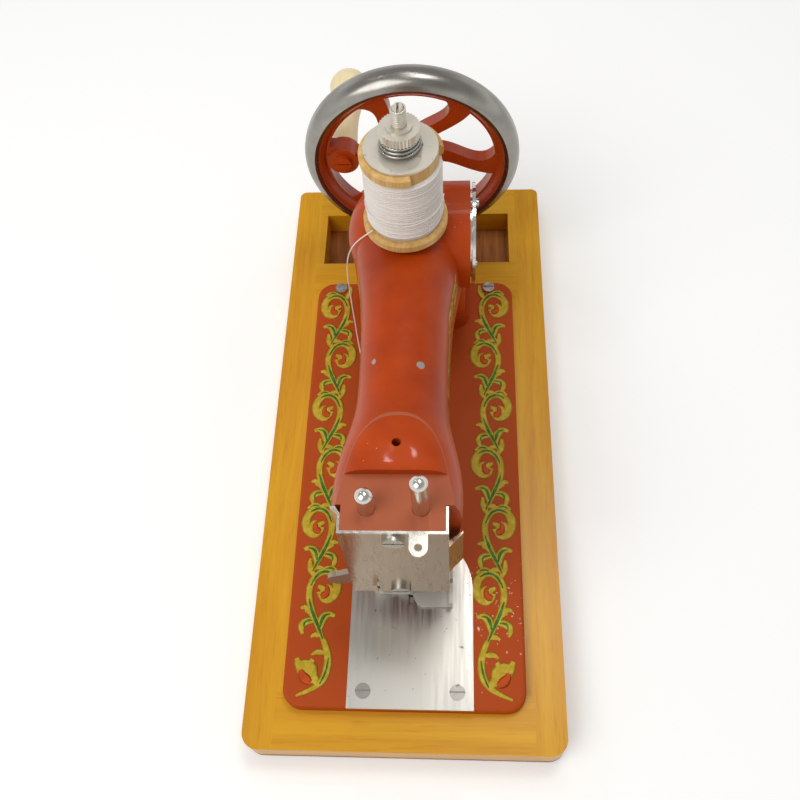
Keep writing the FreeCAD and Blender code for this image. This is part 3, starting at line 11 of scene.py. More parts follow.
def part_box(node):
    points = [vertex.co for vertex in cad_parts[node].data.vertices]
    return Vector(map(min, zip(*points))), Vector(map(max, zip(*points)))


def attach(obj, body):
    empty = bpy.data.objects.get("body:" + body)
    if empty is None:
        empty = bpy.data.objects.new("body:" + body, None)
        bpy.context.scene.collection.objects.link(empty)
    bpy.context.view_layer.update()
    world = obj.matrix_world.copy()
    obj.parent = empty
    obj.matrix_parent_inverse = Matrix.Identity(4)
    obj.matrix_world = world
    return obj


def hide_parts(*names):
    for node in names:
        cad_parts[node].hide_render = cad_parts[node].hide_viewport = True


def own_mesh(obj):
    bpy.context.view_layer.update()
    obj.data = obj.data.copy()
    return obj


bl_info = {
    "name": "Hand-cranked sewing machine",
    "version": (1, 0, 0),
    "blender": (4, 5, 0),
    "location": "3D View > Sidebar > Sewing machine",
    "description": "Enamel, ornament, thread, springs and stage for the machine's frame",
    "category": "Object",
}

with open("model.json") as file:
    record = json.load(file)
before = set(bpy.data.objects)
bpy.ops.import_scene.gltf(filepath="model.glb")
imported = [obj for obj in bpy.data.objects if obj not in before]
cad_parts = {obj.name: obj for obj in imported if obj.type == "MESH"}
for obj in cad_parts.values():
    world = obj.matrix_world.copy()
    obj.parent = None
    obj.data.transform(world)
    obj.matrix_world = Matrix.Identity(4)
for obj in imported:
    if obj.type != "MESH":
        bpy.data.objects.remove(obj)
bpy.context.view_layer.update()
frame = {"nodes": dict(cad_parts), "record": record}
NODES = frame["nodes"]
MM = 0.001


def linear(code):
    """An sRGB hex colour as the linear red, green and blue that Blender works in."""
    parts = [int(code[at:at + 2], 16) / 255 for at in (1, 3, 5)]
    return [part / 12.92 if part <= 0.04045 else ((part + 0.055) / 1.055) ** 2.4 for part in parts]


def shade(name, words, code):
    """A colour that a user may change."""
    return FloatVectorProperty(name=name, description=words, subtype="COLOR", default=linear(code))


def length(name, words, millimetres):
    """A length that a user may change."""
    return FloatProperty(name=name, description=words, unit="LENGTH", default=millimetres * MM)


class SewingFinish(bpy.types.PropertyGroup):
    """Colours of the machine's surfaces."""
    enamel: shade("Enamel", "Orange-red stove enamel of the casting and the wheel", "#BA440C")
    enamel_deep: shade("Deep enamel", "Enamel where the coat lies thicker", "#9C3408")
    bed: shade("Bed enamel", "Duller enamel of the bed", "#AE4715")
    # The deck's paler enamel is laid by height on the head's flat top face only
    deck: shade("Deck enamel", "Rubbed enamel of the head's deck", "#AC5C3C")
    # The board's dark tone is painted shade: it shows only at the bottom of the compartments
    board: shade("Board", "Aged bare wood at the bottom of the compartment", "#A8662A")
    gold: shade("Gold", "Gold of the scroll ornament", "#B4951A")
    leaf: shade("Leaf", "Green of the ornament's leaves", "#256321")
    berry: shade("Berry", "Red of the ornament's small strokes", "#C04A06")
    wood: shade("Beech", "Varnished beech of the base", "#DCA41A")
    grain: shade("Grain", "Darker grain of the varnished beech", "#CB8A12")
    birch: shade("Birch", "Bare turned birch of the spool", "#DDB877")
    cream: shade("Cream", "Cream plastic of the crank's handle", "#F2E3B8")
    cotton: shade("Cotton", "White cotton thread", "#F4EEE5")


class SewingThread(bpy.types.PropertyGroup):
    """Sizes of the thread, the two springs and the pin's screw thread."""
    turn_pitch: length("Turn pitch", "Rise of one turn of thread on the spool", 1.1)
    strand: length("Strand", "Radius of the thread on the spool, drawn coarse enough to show", 0.55)
    tail: length("Tail", "Diameter of the loose thread", 0.5)
    coil_turns: IntProperty(name="Coil turns", description="Turns of the tension coil", default=3)
    coil_wire: length("Coil wire", "Radius of the tension coil's wire", 0.48)
    presser_turns: IntProperty(name="Presser turns", description="Turns of the presser's spring", default=9)
    presser_wire: length("Presser wire", "Radius of the presser spring's wire", 0.42)
    screw_pitch: length("Screw pitch", "Pitch of the screw thread on the spool pin", 0.8)
    screw_ridge: length("Screw ridge", "Radius of the screw thread's ridge", 0.34)


class SewingScroll(bpy.types.PropertyGroup):
    """Sizes of the painted scrolls."""
    band_x: length("Band place", "Distance of each bed scroll from the machine's middle", 33.0)
    band_front: length("Band front", "Front end of the bed scrolls", -92)
    band_back: length("Band back", "Back end of the bed scrolls", 62)
    band_half: length("Band half width", "Half the width of a scroll", 7.2)
    bed_curls: IntProperty(name="Bed curls", description="Large curls along a bed scroll", default=6)
    arm_front: length("Arm front", "Front end of the arm's scrolls", -14)
    arm_back: length("Arm back", "Back end of the arm's scrolls", 30)
    arm_height: length("Arm height", "Height of the arm's scrolls", 70)
    arm_curls: IntProperty(name="Arm curls", description="Large curls along an arm scroll", default=3)


class SewingStage(bpy.types.PropertyGroup):
    """The photograph's view, and the light."""
    eye: FloatVectorProperty(name="Eye", description="Where the camera stands", subtype="TRANSLATION",
                             unit="LENGTH", default=(0.01876, -0.17494, 0.34692))
    pitch: FloatProperty(name="Pitch", description="How far the camera looks down", subtype="ANGLE",
                         default=math.radians(60.492))
    yaw: FloatProperty(name="Yaw", description="How far the camera looks to the right", subtype="ANGLE",
                       default=math.radians(-7.318))
    roll: FloatProperty(name="Roll", description="How far the camera leans", subtype="ANGLE",
                        default=math.radians(6.372))
    lens: FloatProperty(name="Lens", description="Focal length on a 36 mm frame", default=40.5)
    sky: FloatProperty(name="Sky", description="Strength of the light from all round", default=0.4)
    ceiling: FloatProperty(name="Ceiling", description="Power of the large lamp above", unit="POWER",
                           default=7.0)
    window: FloatProperty(name="Window", description="Power of the smaller lamp above", unit="POWER",
                          default=2.1)
    strip: FloatProperty(name="Strip", description="Power of the narrow lamps behind", unit="POWER",
                         default=0.5)


def per(millimetres):
    """The texture scale at which a pattern repeats about once in that many millimetres."""
    return 1000.0 / millimetres


def opaque(colour):
    """A colour with full opacity."""
    return (*colour[:3], 1.0)


def add(tree, kind, links=None, **settings):
    """A shader node with its settings, its sockets set to values or linked to other sockets."""
    made = tree.nodes.new(kind)
    for name, value in settings.items():
        setattr(made, name, value)
    for socket, value in (links or {}).items():
        if isinstance(value, bpy.types.NodeSocket):
            tree.links.new(value, made.inputs[socket])
        else:
            made.inputs[socket].default_value = value
    return made


def surface(name, **sockets):
    """A material, its node tree, its Principled shader and the piece's own coordinates."""
    made = bpy.data.materials.new(name)
    made.use_nodes = True
    tree = made.node_tree
    shader = tree.nodes["Principled BSDF"]
    for socket, value in sockets.items():
        shader.inputs[socket.replace("_", " ")].default_value = value
    place = add(tree, "ShaderNodeTexCoord").outputs["Object"]
    return made, tree, shader, place


def dress(made, *names):
    """Gives CAD nodes one material."""
    for name in names:
        mesh = NODES[name].data
        mesh.materials.clear()
        mesh.materials.append(made)


# Height of the head's flat deck, and how far below it the painted highlight along the face cover's top edge
# reaches
DECK = 94.0 * MM
LIP_DEPTH = 0.9 * MM
# How far from the deck's height, and above the bed's, the duller enamel still shows
DECK_SLACK = 0.2 * MM
BED_SLACK = 0.1 * MM
# Places of the two largest chips on top of the arm, and their rough radius
CHIPS = (((-0.0100, -0.0145, 0.0883), 0.0017), ((0.0069, -0.0169, 0.0895), 0.0016))
# Middles of the patches worn pale by hands, and how far each reaches
WORN = (
    ((0.0370, -0.0800, 0.0190), 0.040),
    ((0.0190, 0.0500, 0.0840), 0.009),
    ((-0.0090, -0.0530, 0.0960), 0.008),
)
# Colours of the worn flecks, of the iron in the chips, of the painted highlight along the face cover's top
# edge and of the wheel's bare rim
PALE_WEAR = "#E6D6CB"
BARE_IRON = "#9A958F"
EDGE_HIGHLIGHT = "#C9C4BB"
# The rim's two greys are kept low as painted reflection of dim surroundings; the cloudy mix between them is
# random tone
RIM_CLEAN = "#A9A69F"
RIM_DIM_REFLECTION = "#7B7771"
# Colours of yellowed plastic and of cotton in the shade of its own turns
AGED_CREAM = "#E6CF9C"
SHADED_COTTON = "#DDD4CB"
# Radii between which the handwheel's enamel gives way to its bare rim
RIM_EDGE = (38.4 * MM, 38.8 * MM)


def stove_enamel(name, gloss, clear):
    """Stove enamel on cast iron: a faint orange-peel skin, grey chips, pale flecks of wear, a dull deck."""
    finish = bpy.context.scene.sewing_finish
    made, tree, shader, place = surface(name, Coat_Weight=clear, Coat_Roughness=0.07,
                                        Specular_IOR_Level=0.12)
    cloud = add(tree, "ShaderNodeTexNoise", {"Vector": place, "Scale": per(26), "Detail": 4.0,
                                             "Roughness": 0.6})
    thick = add(tree, "ShaderNodeMapRange", {"Value": cloud.outputs["Fac"], "From Min": 0.35,
                                             "From Max": 0.75})
    coat = add(tree, "ShaderNodeMixRGB", {"Fac": thick.outputs["Result"], "Color1": opaque(finish.enamel),
                                          "Color2": opaque(finish.enamel_deep)})
    height = add(tree, "ShaderNodeSeparateXYZ", {"Vector": place}).outputs["Z"]
    deck = add(tree, "ShaderNodeMath", {0: height, 1: DECK, 2: DECK_SLACK}, operation="COMPARE")
    bed = add(tree, "ShaderNodeMath", {0: height, 1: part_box("bed_plate")[1].z + BED_SLACK},
              operation="LESS_THAN")
    matt = add(tree, "ShaderNodeMath", {0: deck.outputs["Value"], 1: bed.outputs["Value"]},
               operation="MAXIMUM")
    for mask, colour in ((bed, finish.bed), (deck, finish.deck)):
        coat = add(tree, "ShaderNodeMixRGB", {"Fac": mask.outputs["Value"], "Color1": coat.outputs["Color"],
                                              "Color2": opaque(colour)})
    fleck = add(tree, "ShaderNodeTexNoise", {"Vector": place, "Scale": per(1.3),
                                             "Detail": 2.0}).outputs["Fac"]
    for spot, reach in WORN:
        away = add(tree, "ShaderNodeVectorMath", {0: place, 1: spot}, operation="DISTANCE")
        near = add(tree, "ShaderNodeMapRange", {"Value": away.outputs["Value"], "From Max": reach,
                                                "To Min": 0.16, "To Max": 0.0})
        fleck = add(tree, "ShaderNodeMath", {0: fleck, 1: near.outputs["Result"]},
                    operation="ADD").outputs["Value"]
    pale = add(tree, "ShaderNodeMapRange", {"Value": fleck, "From Min": 0.79, "From Max": 0.84,
                                            "To Max": 0.75})
    shown = add(tree, "ShaderNodeMixRGB", {"Fac": pale.outputs["Result"], "Color1": coat.outputs["Color"],
                                           "Color2": opaque(linear(PALE_WEAR))})
    for spot, size in CHIPS:
        wander = add(tree, "ShaderNodeTexNoise", {"Vector": place, "Scale": per(3), "Detail": 2.0})
        away = add(tree, "ShaderNodeVectorMath", {0: place, 1: spot}, operation="DISTANCE")
        edge = add(tree, "ShaderNodeMath", {0: wander.outputs["Fac"], 1: size, 2: size * 0.4},
                   operation="MULTIPLY_ADD")
        inside = add(tree, "ShaderNodeMath", {0: away.outputs["Value"], 1: edge.outputs["Value"]},
                     operation="LESS_THAN")
        shown = add(tree, "ShaderNodeMixRGB", {"Fac": inside.outputs["Value"],
                                               "Color1": shown.outputs["Color"],
                                               "Color2": opaque(linear(BARE_IRON))})
    rough = add(tree, "ShaderNodeMapRange", {"Value": matt.outputs["Value"], "To Min": gloss, "To Max": 0.5})
    skin = add(tree, "ShaderNodeTexNoise", {"Vector": place, "Scale": per(1.6), "Detail": 2.0})
    peel = add(tree, "ShaderNodeBump", {"Height": skin.outputs["Fac"], "Distance": 0.05 * MM,
                                        "Strength": 0.35})
    tree.links.new(shown.outputs["Color"], shader.inputs["Base Color"])
    tree.links.new(rough.outputs["Result"], shader.inputs["Roughness"])
    tree.links.new(peel.outputs["Normal"], shader.inputs["Normal"])
    return made


def ground_iron():
    """A cast-iron wheel: red enamel on hub and spokes, and a ground rim with fine turning marks, its greys
    kept low as painted reflection of dim surroundings.
    """
    finish = bpy.context.scene.sewing_finish
    low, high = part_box("handwheel")
    middle = (low + high) / 2
    made, tree, shader, place = surface("ground_iron")
    level = add(tree, "ShaderNodeVectorMath", {0: place, 1: middle}, operation="SUBTRACT")
    flat = add(tree, "ShaderNodeVectorMath", {0: level.outputs["Vector"], 1: (1.0, 0.0, 1.0)},
               operation="MULTIPLY")
    radius = add(tree, "ShaderNodeVectorMath", {0: flat.outputs["Vector"]}, operation="LENGTH")
    bare = add(tree, "ShaderNodeMapRange", {"Value": radius.outputs["Value"], "From Min": RIM_EDGE[0],
                                            "From Max": RIM_EDGE[1]})
    marks = add(tree, "ShaderNodeTexNoise", {"Vector": radius.outputs["Value"], "Scale": per(0.7),
                                             "Detail": 2.0})
    cloud = add(tree, "ShaderNodeTexNoise", {"Vector": place, "Scale": per(9), "Detail": 5.0})
    # Painted reflection: the rim's greys are kept low to stand for dim surroundings mirrored in it
    rim_grey = add(tree, "ShaderNodeMixRGB", {"Fac": cloud.outputs["Fac"],
                                             "Color1": opaque(linear(RIM_CLEAN)),
                                             "Color2": opaque(linear(RIM_DIM_REFLECTION))})
    paint = add(tree, "ShaderNodeMixRGB", {"Fac": cloud.outputs["Fac"], "Color1": opaque(finish.enamel),
                                           "Color2": opaque(finish.enamel_deep)})
    shown = add(tree, "ShaderNodeMixRGB", {"Fac": bare.outputs["Result"], "Color1": paint.outputs["Color"],
                                           "Color2": rim_grey.outputs["Color"]})
    rough = add(tree, "ShaderNodeMapRange", {"Value": cloud.outputs["Fac"], "To Min": 0.2, "To Max": 0.34})
    turned = add(tree, "ShaderNodeBump", {"Height": marks.outputs["Fac"], "Distance": 0.03 * MM,
                                          "Strength": 0.3})
    tree.links.new(shown.outputs["Color"], shader.inputs["Base Color"])
    tree.links.new(bare.outputs["Result"], shader.inputs["Metallic"])
    tree.links.new(rough.outputs["Result"], shader.inputs["Roughness"])
    tree.links.new(turned.outputs["Normal"], shader.inputs["Normal"])
    return made


def plated(name, code, dark, smooth, dull, streak, stretch=(1, 1, 1), metal=1.0, lip=None):
    """Plated or bright steel: clear reflections, fine streaks and dull specks, and a painted highlight above
    the lip.
    """
    made, tree, shader, place = surface(name, Metallic=metal)
    drawn = add(tree, "ShaderNodeMapping", {"Vector": place, "Scale": stretch})
    lines = add(tree, "ShaderNodeTexNoise", {"Vector": drawn.outputs["Vector"], "Scale": per(streak),
                                             "Detail": 4.0})
    spots = add(tree, "ShaderNodeTexNoise", {"Vector": place, "Scale": per(2.2), "Detail": 3.0})
    speck = add(tree, "ShaderNodeMapRange", {"Value": spots.outputs["Fac"], "From Min": 0.68,
                                             "From Max": 0.74})
    colour = add(tree, "ShaderNodeMixRGB", {"Fac": speck.outputs["Result"], "Color1": opaque(linear(code)),
                                            "Color2": opaque(linear(dark))})
    # Above the lip the colour turns pale: a painted highlight where the top edge catches the light
    if lip:
        height = add(tree, "ShaderNodeSeparateXYZ", {"Vector": place}).outputs["Z"]
        above = add(tree, "ShaderNodeMath", {0: height, 1: lip}, operation="GREATER_THAN")
        colour = add(tree, "ShaderNodeMixRGB", {"Fac": above.outputs["Value"],
                                                "Color1": colour.outputs["Color"],
                                                "Color2": opaque(linear(EDGE_HIGHLIGHT))})
    rough = add(tree, "ShaderNodeMapRange", {"Value": lines.outputs["Fac"], "From Min": 0.3, "From Max": 0.7,
                                             "To Min": smooth, "To Max": dull})
    brushed = add(tree, "ShaderNodeBump", {"Height": lines.outputs["Fac"], "Distance": 0.02 * MM,
                                           "Strength": 0.25})
    tree.links.new(colour.outputs["Color"], shader.inputs["Base Color"])
    tree.links.new(rough.outputs["Result"], shader.inputs["Roughness"])
    tree.links.new(brushed.outputs["Normal"], shader.inputs["Normal"])
    return made


# How far the timber's pattern is drawn out along its grain, as the share left of its scale there
GRAIN_SCALE = 0.06


def varnished(name, light, dark, along, ring, gloss):
    """Straight-grained timber under varnish: long pale and dark bands, short fine pores along one axis."""
    made, tree, shader, place = surface(name, Roughness=gloss, Coat_Weight=0.08, Coat_Roughness=0.2,
                                        Specular_IOR_Level=0.25)
    stretch = [1.0, 1.0, 1.0]
    stretch[along] = GRAIN_SCALE
    drawn = add(tree, "ShaderNodeMapping", {"Vector": place, "Scale": stretch})
    bands = add(tree, "ShaderNodeTexNoise", {"Vector": drawn.outputs["Vector"], "Scale": per(ring),
                                             "Detail": 6.0, "Roughness": 0.62, "Distortion": 0.6})
    pores = add(tree, "ShaderNodeTexNoise", {"Vector": drawn.outputs["Vector"], "Scale": per(0.8),
                                             "Detail": 2.0})
    broad = add(tree, "ShaderNodeMapRange", {"Value": bands.outputs["Fac"], "From Min": 0.34,
                                             "From Max": 0.68})
    fine = add(tree, "ShaderNodeMapRange", {"Value": pores.outputs["Fac"], "From Min": 0.56,
                                            "From Max": 0.72, "To Max": 0.5})
    both = add(tree, "ShaderNodeMath", {0: broad.outputs["Result"], 1: fine.outputs["Result"]},
               operation="ADD", use_clamp=True)
    colour = add(tree, "ShaderNodeMixRGB", {"Fac": both.outputs["Value"], "Color1": opaque(light),
                                            "Color2": opaque(dark)})
    raised = add(tree, "ShaderNodeBump", {"Height": both.outputs["Value"], "Distance": 0.06 * MM,
                                          "Strength": 0.2}, invert=True)
    tree.links.new(colour.outputs["Color"], shader.inputs["Base Color"])
    tree.links.new(raised.outputs["Normal"], shader.inputs["Normal"])
    return made


def moulded_cream():
    """Cream plastic, moulded and handled: soft gloss, light passes a little way in."""
    finish = bpy.context.scene.sewing_finish
    made, tree, shader, place = surface("moulded_cream", Roughness=0.34, Subsurface_Weight=0.25,
                                        Subsurface_Radius=(0.006, 0.004, 0.002))
    cloud = add(tree, "ShaderNodeTexNoise", {"Vector": place, "Scale": per(14), "Detail": 4.0})
    colour = add(tree, "ShaderNodeMixRGB", {"Fac": cloud.outputs["Fac"], "Color1": opaque(finish.cream),
                                            "Color2": opaque(linear(AGED_CREAM))})
    skin = add(tree, "ShaderNodeBump", {"Height": cloud.outputs["Fac"], "Distance": 0.05 * MM,
                                        "Strength": 0.2})
    tree.links.new(colour.outputs["Color"], shader.inputs["Base Color"])
    tree.links.new(skin.outputs["Normal"], shader.inputs["Normal"])
    return made


def spun_cotton():
    """Soft cotton thread: matt, with a faint nap and twist."""
    finish = bpy.context.scene.sewing_finish
    made, tree, shader, place = surface("spun_cotton", Roughness=0.85, Sheen_Weight=0.3)
    twist = add(tree, "ShaderNodeTexNoise", {"Vector": place, "Scale": per(0.5), "Detail": 3.0})
    colour = add(tree, "ShaderNodeMixRGB", {"Fac": twist.outputs["Fac"], "Color1": opaque(finish.cotton),
                                            "Color2": opaque(linear(SHADED_COTTON))})
    nap = add(tree, "ShaderNodeBump", {"Height": twist.outputs["Fac"], "Distance": 0.08 * MM,
                                       "Strength": 0.4})
    tree.links.new(colour.outputs["Color"], shader.inputs["Base Color"])
    tree.links.new(nap.outputs["Normal"], shader.inputs["Normal"])
    return made


def transfer_paint(name, colour, worn):
    """Transfer paint on enamel: a thin satin film, rubbed paler in places."""
    made, tree, shader, place = surface(name, Roughness=0.48, Specular_IOR_Level=0.2)
    rub = add(tree, "ShaderNodeTexNoise", {"Vector": place, "Scale": per(2.4), "Detail": 4.0})
    faded = add(tree, "ShaderNodeMapRange", {"Value": rub.outputs["Fac"], "From Min": 0.42, "From Max": 0.7})
    shown = add(tree, "ShaderNodeMixRGB", {"Fac": faded.outputs["Result"], "Color1": opaque(colour),
                                           "Color2": opaque(linear(worn))})
    tree.links.new(shown.outputs["Color"], shader.inputs["Base Color"])
    return made


def round_line(name, radius, sides, smooth):
    """An empty curve whose splines are drawn as round tubes with closed ends."""
    line = bpy.data.curves.new(name, "CURVE")
    line.dimensions = "3D"
    line.bevel_depth = radius
    line.bevel_resolution = sides
    line.resolution_u = smooth
    line.use_fill_caps = True
    return line


def run(line, points):
    """A smooth spline of a curve, from the first of its points to the last."""
    spline = line.splines.new("NURBS")
    spline.points.add(len(points) - 1)
    for knot, at in zip(spline.points, points):
        knot.co = (*at, 1.0)
    spline.order_u = 3
    spline.use_endpoint_u = True
    return spline


def stroke_mesh(name, strokes, sides, smooth):
    """A mesh of round strokes, each given by its points and the radius at each of them."""
    line = round_line(name, 1.0, sides, smooth)
    for points, radii in strokes:
        spline = run(line, points)
        for knot, radius in zip(spline.points, radii):
            knot.radius = radius
    drawing = bpy.data.objects.new(name, line)
    mesh = bpy.data.meshes.new_from_object(drawing)
    mesh.name = name
    bpy.data.objects.remove(drawing)
    bpy.data.curves.remove(line)
    return mesh


def wire_mesh(name, points, radius, sides, smooth):
    """A mesh of one wire of even thickness."""
    return stroke_mesh(name, [(points, [radius] * len(points))], sides, smooth)


def piece(name, mesh, made, body, slot, *replaced):
    """A finished mesh that rides on a body and may stand for CAD nodes."""
    mesh.materials.clear()
    mesh.materials.append(made)
    mesh.shade_smooth()
    shown = bpy.data.objects.new(name, mesh)
    bpy.context.scene.collection.objects.link(shown)
    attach(shown, body)
    if replaced:
        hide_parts(*replaced)
    return shown


def helix(centre, start, end, low, high, turns, steps=16):
    """Points of a helix that rises from low to high while its radius goes from start to end."""
    points = []
    for step in range(int(turns * steps) + 1):
        share = step / (turns * steps)
        angle = 2 * math.pi * step / steps
        radius = start + (end - start) * share
        points.append((centre.x + radius * math.cos(angle), centre.y + radius * math.sin(angle),
                       low + (high - low) * share))
    return points


class SEWING_OT_castings(bpy.types.Operator):
    """Enamels the arm and the bed, and finishes the handwheel and its handle"""
    bl_idname = "sewing.castings"
    bl_label = "Castings"

    def execute(self, context):
        dress(stove_enamel("gloss_enamel", gloss=0.42, clear=0.12), "arm_casting", "handle_axle")
        dress(stove_enamel("dull_enamel", gloss=0.45, clear=0.0), "bed_plate")
        dress(ground_iron(), "handwheel")
        dress(moulded_cream(), "handle_grip")
        return {"FINISHED"}


class SEWING_OT_metalwork(bpy.types.Operator):
    """Finishes the plated covers, the bright plate, the plain steel, the spring wire and the brass"""
    bl_idname = "sewing.metalwork"
    bl_label = "Metalwork"

    def execute(self, context):
        # Each has its colour, its specks' colour, its least and greatest roughness, and the width of its
        # streaks in millimetres; metal is less than one where dirt or worn plating dulls the reflections
        finishes = {
            "nickel": plated("nickel_plate", "#DAD6CE", "#A39D92", 0.1, 0.24, 1.2, stretch=(1, 1, 0.2)),
            "steel": plated("oiled_steel", "#B7B5B0", "#7E7A73", 0.22, 0.4, 1.6),
            "spring_steel": plated("spring_wire", "#A5A29C", "#6B675F", 0.16, 0.3, 1.0),
            "brass": plated("turned_brass", "#C9A254", "#8D6B2C", 0.2, 0.36, 1.2),
        }
        for part in frame["record"]["subparts"]:
            if part["material_slot"] in finishes:
                dress(finishes[part["material_slot"]], part["node"])
        dress(plated("brushed_plate", "#BDB9B1", "#6E675E", 0.3, 0.44, 0.9, stretch=(1, 0.05, 1)),
              "needle_plate")
        # The face cover's brownish tint is painted reflection of the red enamel, and its top edge carries a
        # painted highlight
        dress(plated("red_reflecting_nickel", "#A8957F", "#7C6852", 0.16, 0.3, 1.2, stretch=(1, 1, 0.15),
                     metal=0.8, lip=DECK - LIP_DEPTH), "face_cover")
        dress(plated("satin_nickel", "#D3CCBE", "#9A9183", 0.3, 0.44, 1.4, metal=0.6),
              "spool_washer", "tension_nut", "spool_pin")
        dress(plated("worn_nickel", "#C4BFB5", "#8A8379", 0.36, 0.5, 1.4, metal=0.35), "presser_foot")
        # The lifter's dark brownish grey is painted shade and painted reflection of the red enamel
        dress(plated("shaded_nickel", "#A08E7C", "#6E5A48", 0.3, 0.44, 1.4, metal=0.6), "presser_lifter")
        dress(plated("dark_steel", "#97938C", "#5F5A53", 0.26, 0.4, 1.4), "needle_plate_screws")
        return {"FINISHED"}


class SEWING_OT_woodwork(bpy.types.Operator):
    """Gives the base's rails and board their grain and varnish, the board darkened as painted shade, and the
    spool its bare birch
    """
    bl_idname = "sewing.woodwork"
    bl_label = "Woodwork"

    def execute(self, context):
        finish = context.scene.sewing_finish
        dress(varnished("beech_lengthwise", finish.wood, finish.grain, along=1, ring=7, gloss=0.32),
              "base_side_rail_left", "base_side_rail_right")
        # The board is darkened as painted shade of the compartments
        dress(varnished("shaded_board", finish.board, linear("#7A4418"), along=1, ring=5, gloss=0.6),
              "base_board")
        dress(varnished("beech_crosswise", finish.wood, finish.grain, along=0, ring=7, gloss=0.32),
              "base_front_rail", "base_cross_rail", "base_rear_rail")
        dress(varnished("bare_birch", finish.birch, linear("#C2924C"), along=2, ring=3, gloss=0.55), "spool")
        return {"FINISHED"}


# How far the middles of the wound strand and of one stray turn stand off the pack, in strand radii
BEDDED = 0.35
STRAY_RIDE = 1.35
# The stray turn's own radius in strand radii, and where it starts and ends, as shares of the pack's height
STRAY_SIZE = 0.5
STRAY_SPAN = (0.2, 0.36)
# Flat sides of the pack that lies under the turns
PACK_SIDES = 48
# The wound strand's slow swelling: its share, and the two angles that it goes on by from point to point
SWELL = 0.18
SWELL_STEPS = (0.171, 0.031)


class SEWING_OT_spool_thread(bpy.types.Operator):
    """Winds the spool with fine turns of thread over a full pack"""
    bl_idname = "sewing.spool_thread"
    bl_label = "Thread on the spool"

    def execute(self, context):
        sizes = context.scene.sewing_thread
        cotton = spun_cotton()
        low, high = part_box("thread_core")
        middle = (low + high) / 2
        outer = (high.x - low.x) / 2
        shape = bmesh.new()
        ends = [shape.verts.new((middle.x + outer, middle.y, z)) for z in (low.z, high.z)]
        shape.edges.new(ends)
        bmesh.ops.spin(shape, geom=ends + list(shape.edges), cent=middle, axis=(0, 0, 1), angle=2 * math.pi,
                       steps=PACK_SIDES, use_merge=True)
        rims = [edge for edge in shape.edges if edge.is_boundary]
        bmesh.ops.holes_fill(shape, edges=rims, sides=0)
        bmesh.ops.recalc_face_normals(shape, faces=shape.faces)
        mesh = bpy.data.meshes.new("thread_pack")
        shape.to_mesh(mesh)
        shape.free()
        piece("thread_pack", mesh, cotton, "spool_unit", "white_thread", "thread_core")

        wound_low, wound_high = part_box("thread_winding")
        turns = round((wound_high.z - wound_low.z) / sizes.turn_pitch) - 1
        ride = outer + sizes.strand * BEDDED
        points = helix(middle, ride, ride, wound_low.z + sizes.strand, wound_high.z - sizes.strand, turns,
                       steps=18)
        wave = []
        for at in range(len(points)):
            swell = math.sin(at * SWELL_STEPS[0]) * math.sin(at * SWELL_STEPS[1])
            wave.append(sizes.strand * (1 + SWELL * swell))
        over = outer + sizes.strand * STRAY_RIDE
        start, end = (low.z + (high.z - low.z) * share for share in STRAY_SPAN)
        stray = helix(middle, over, over, start, end, turns=1, steps=24)
        turned = [(points, wave), (stray, [sizes.strand * STRAY_SIZE] * len(stray))]
        piece("thread_turns", stroke_mesh("thread_turns", turned, sides=1, smooth=2), cotton, "spool_unit",
              "white_thread", "thread_winding")
        return {"FINISHED"}


# The loose thread's route from the spool down beside the arm to the bed
TAIL_ROUTE = ((-0.0114, 0.0362, 0.0954), (-0.0150, 0.0368, 0.0916), (-0.0190, 0.0374, 0.0866),
              (-0.0220, 0.0376, 0.0800), (-0.0234, 0.0374, 0.0710), (-0.0236, 0.0370, 0.0600),
              (-0.0236, 0.0364, 0.0480), (-0.0234, 0.0356, 0.0360), (-0.0230, 0.0334, 0.0264),
              (-0.0220, 0.0290, 0.0212), (-0.0200, 0.0220, 0.0200), (-0.0176, 0.0140, 0.0198))


class SEWING_OT_loose_thread(bpy.types.Operator):
    """Hangs the loose end of the thread from the spool to the bed"""
    bl_idname = "sewing.loose_thread"
    bl_label = "Loose thread"

    def execute(self, context):
        sizes = context.scene.sewing_thread
        line = round_line("loose_thread", sizes.tail / 2, sides=2, smooth=12)
        run(line, TAIL_ROUTE)
        line.materials.append(bpy.data.materials["spun_cotton"])
        shown = bpy.data.objects.new("loose_thread", line)
        context.scene.collection.objects.link(shown)
        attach(shown, "frame")
        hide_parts("thread_tail")
        return {"FINISHED"}


# The tension coil's upper radius as a share of its lower one
COIL_TAPER = 0.88
# How far the screw thread's ridge is sunk in the pin, in ridge radii
RIDGE_SUNK = 0.4


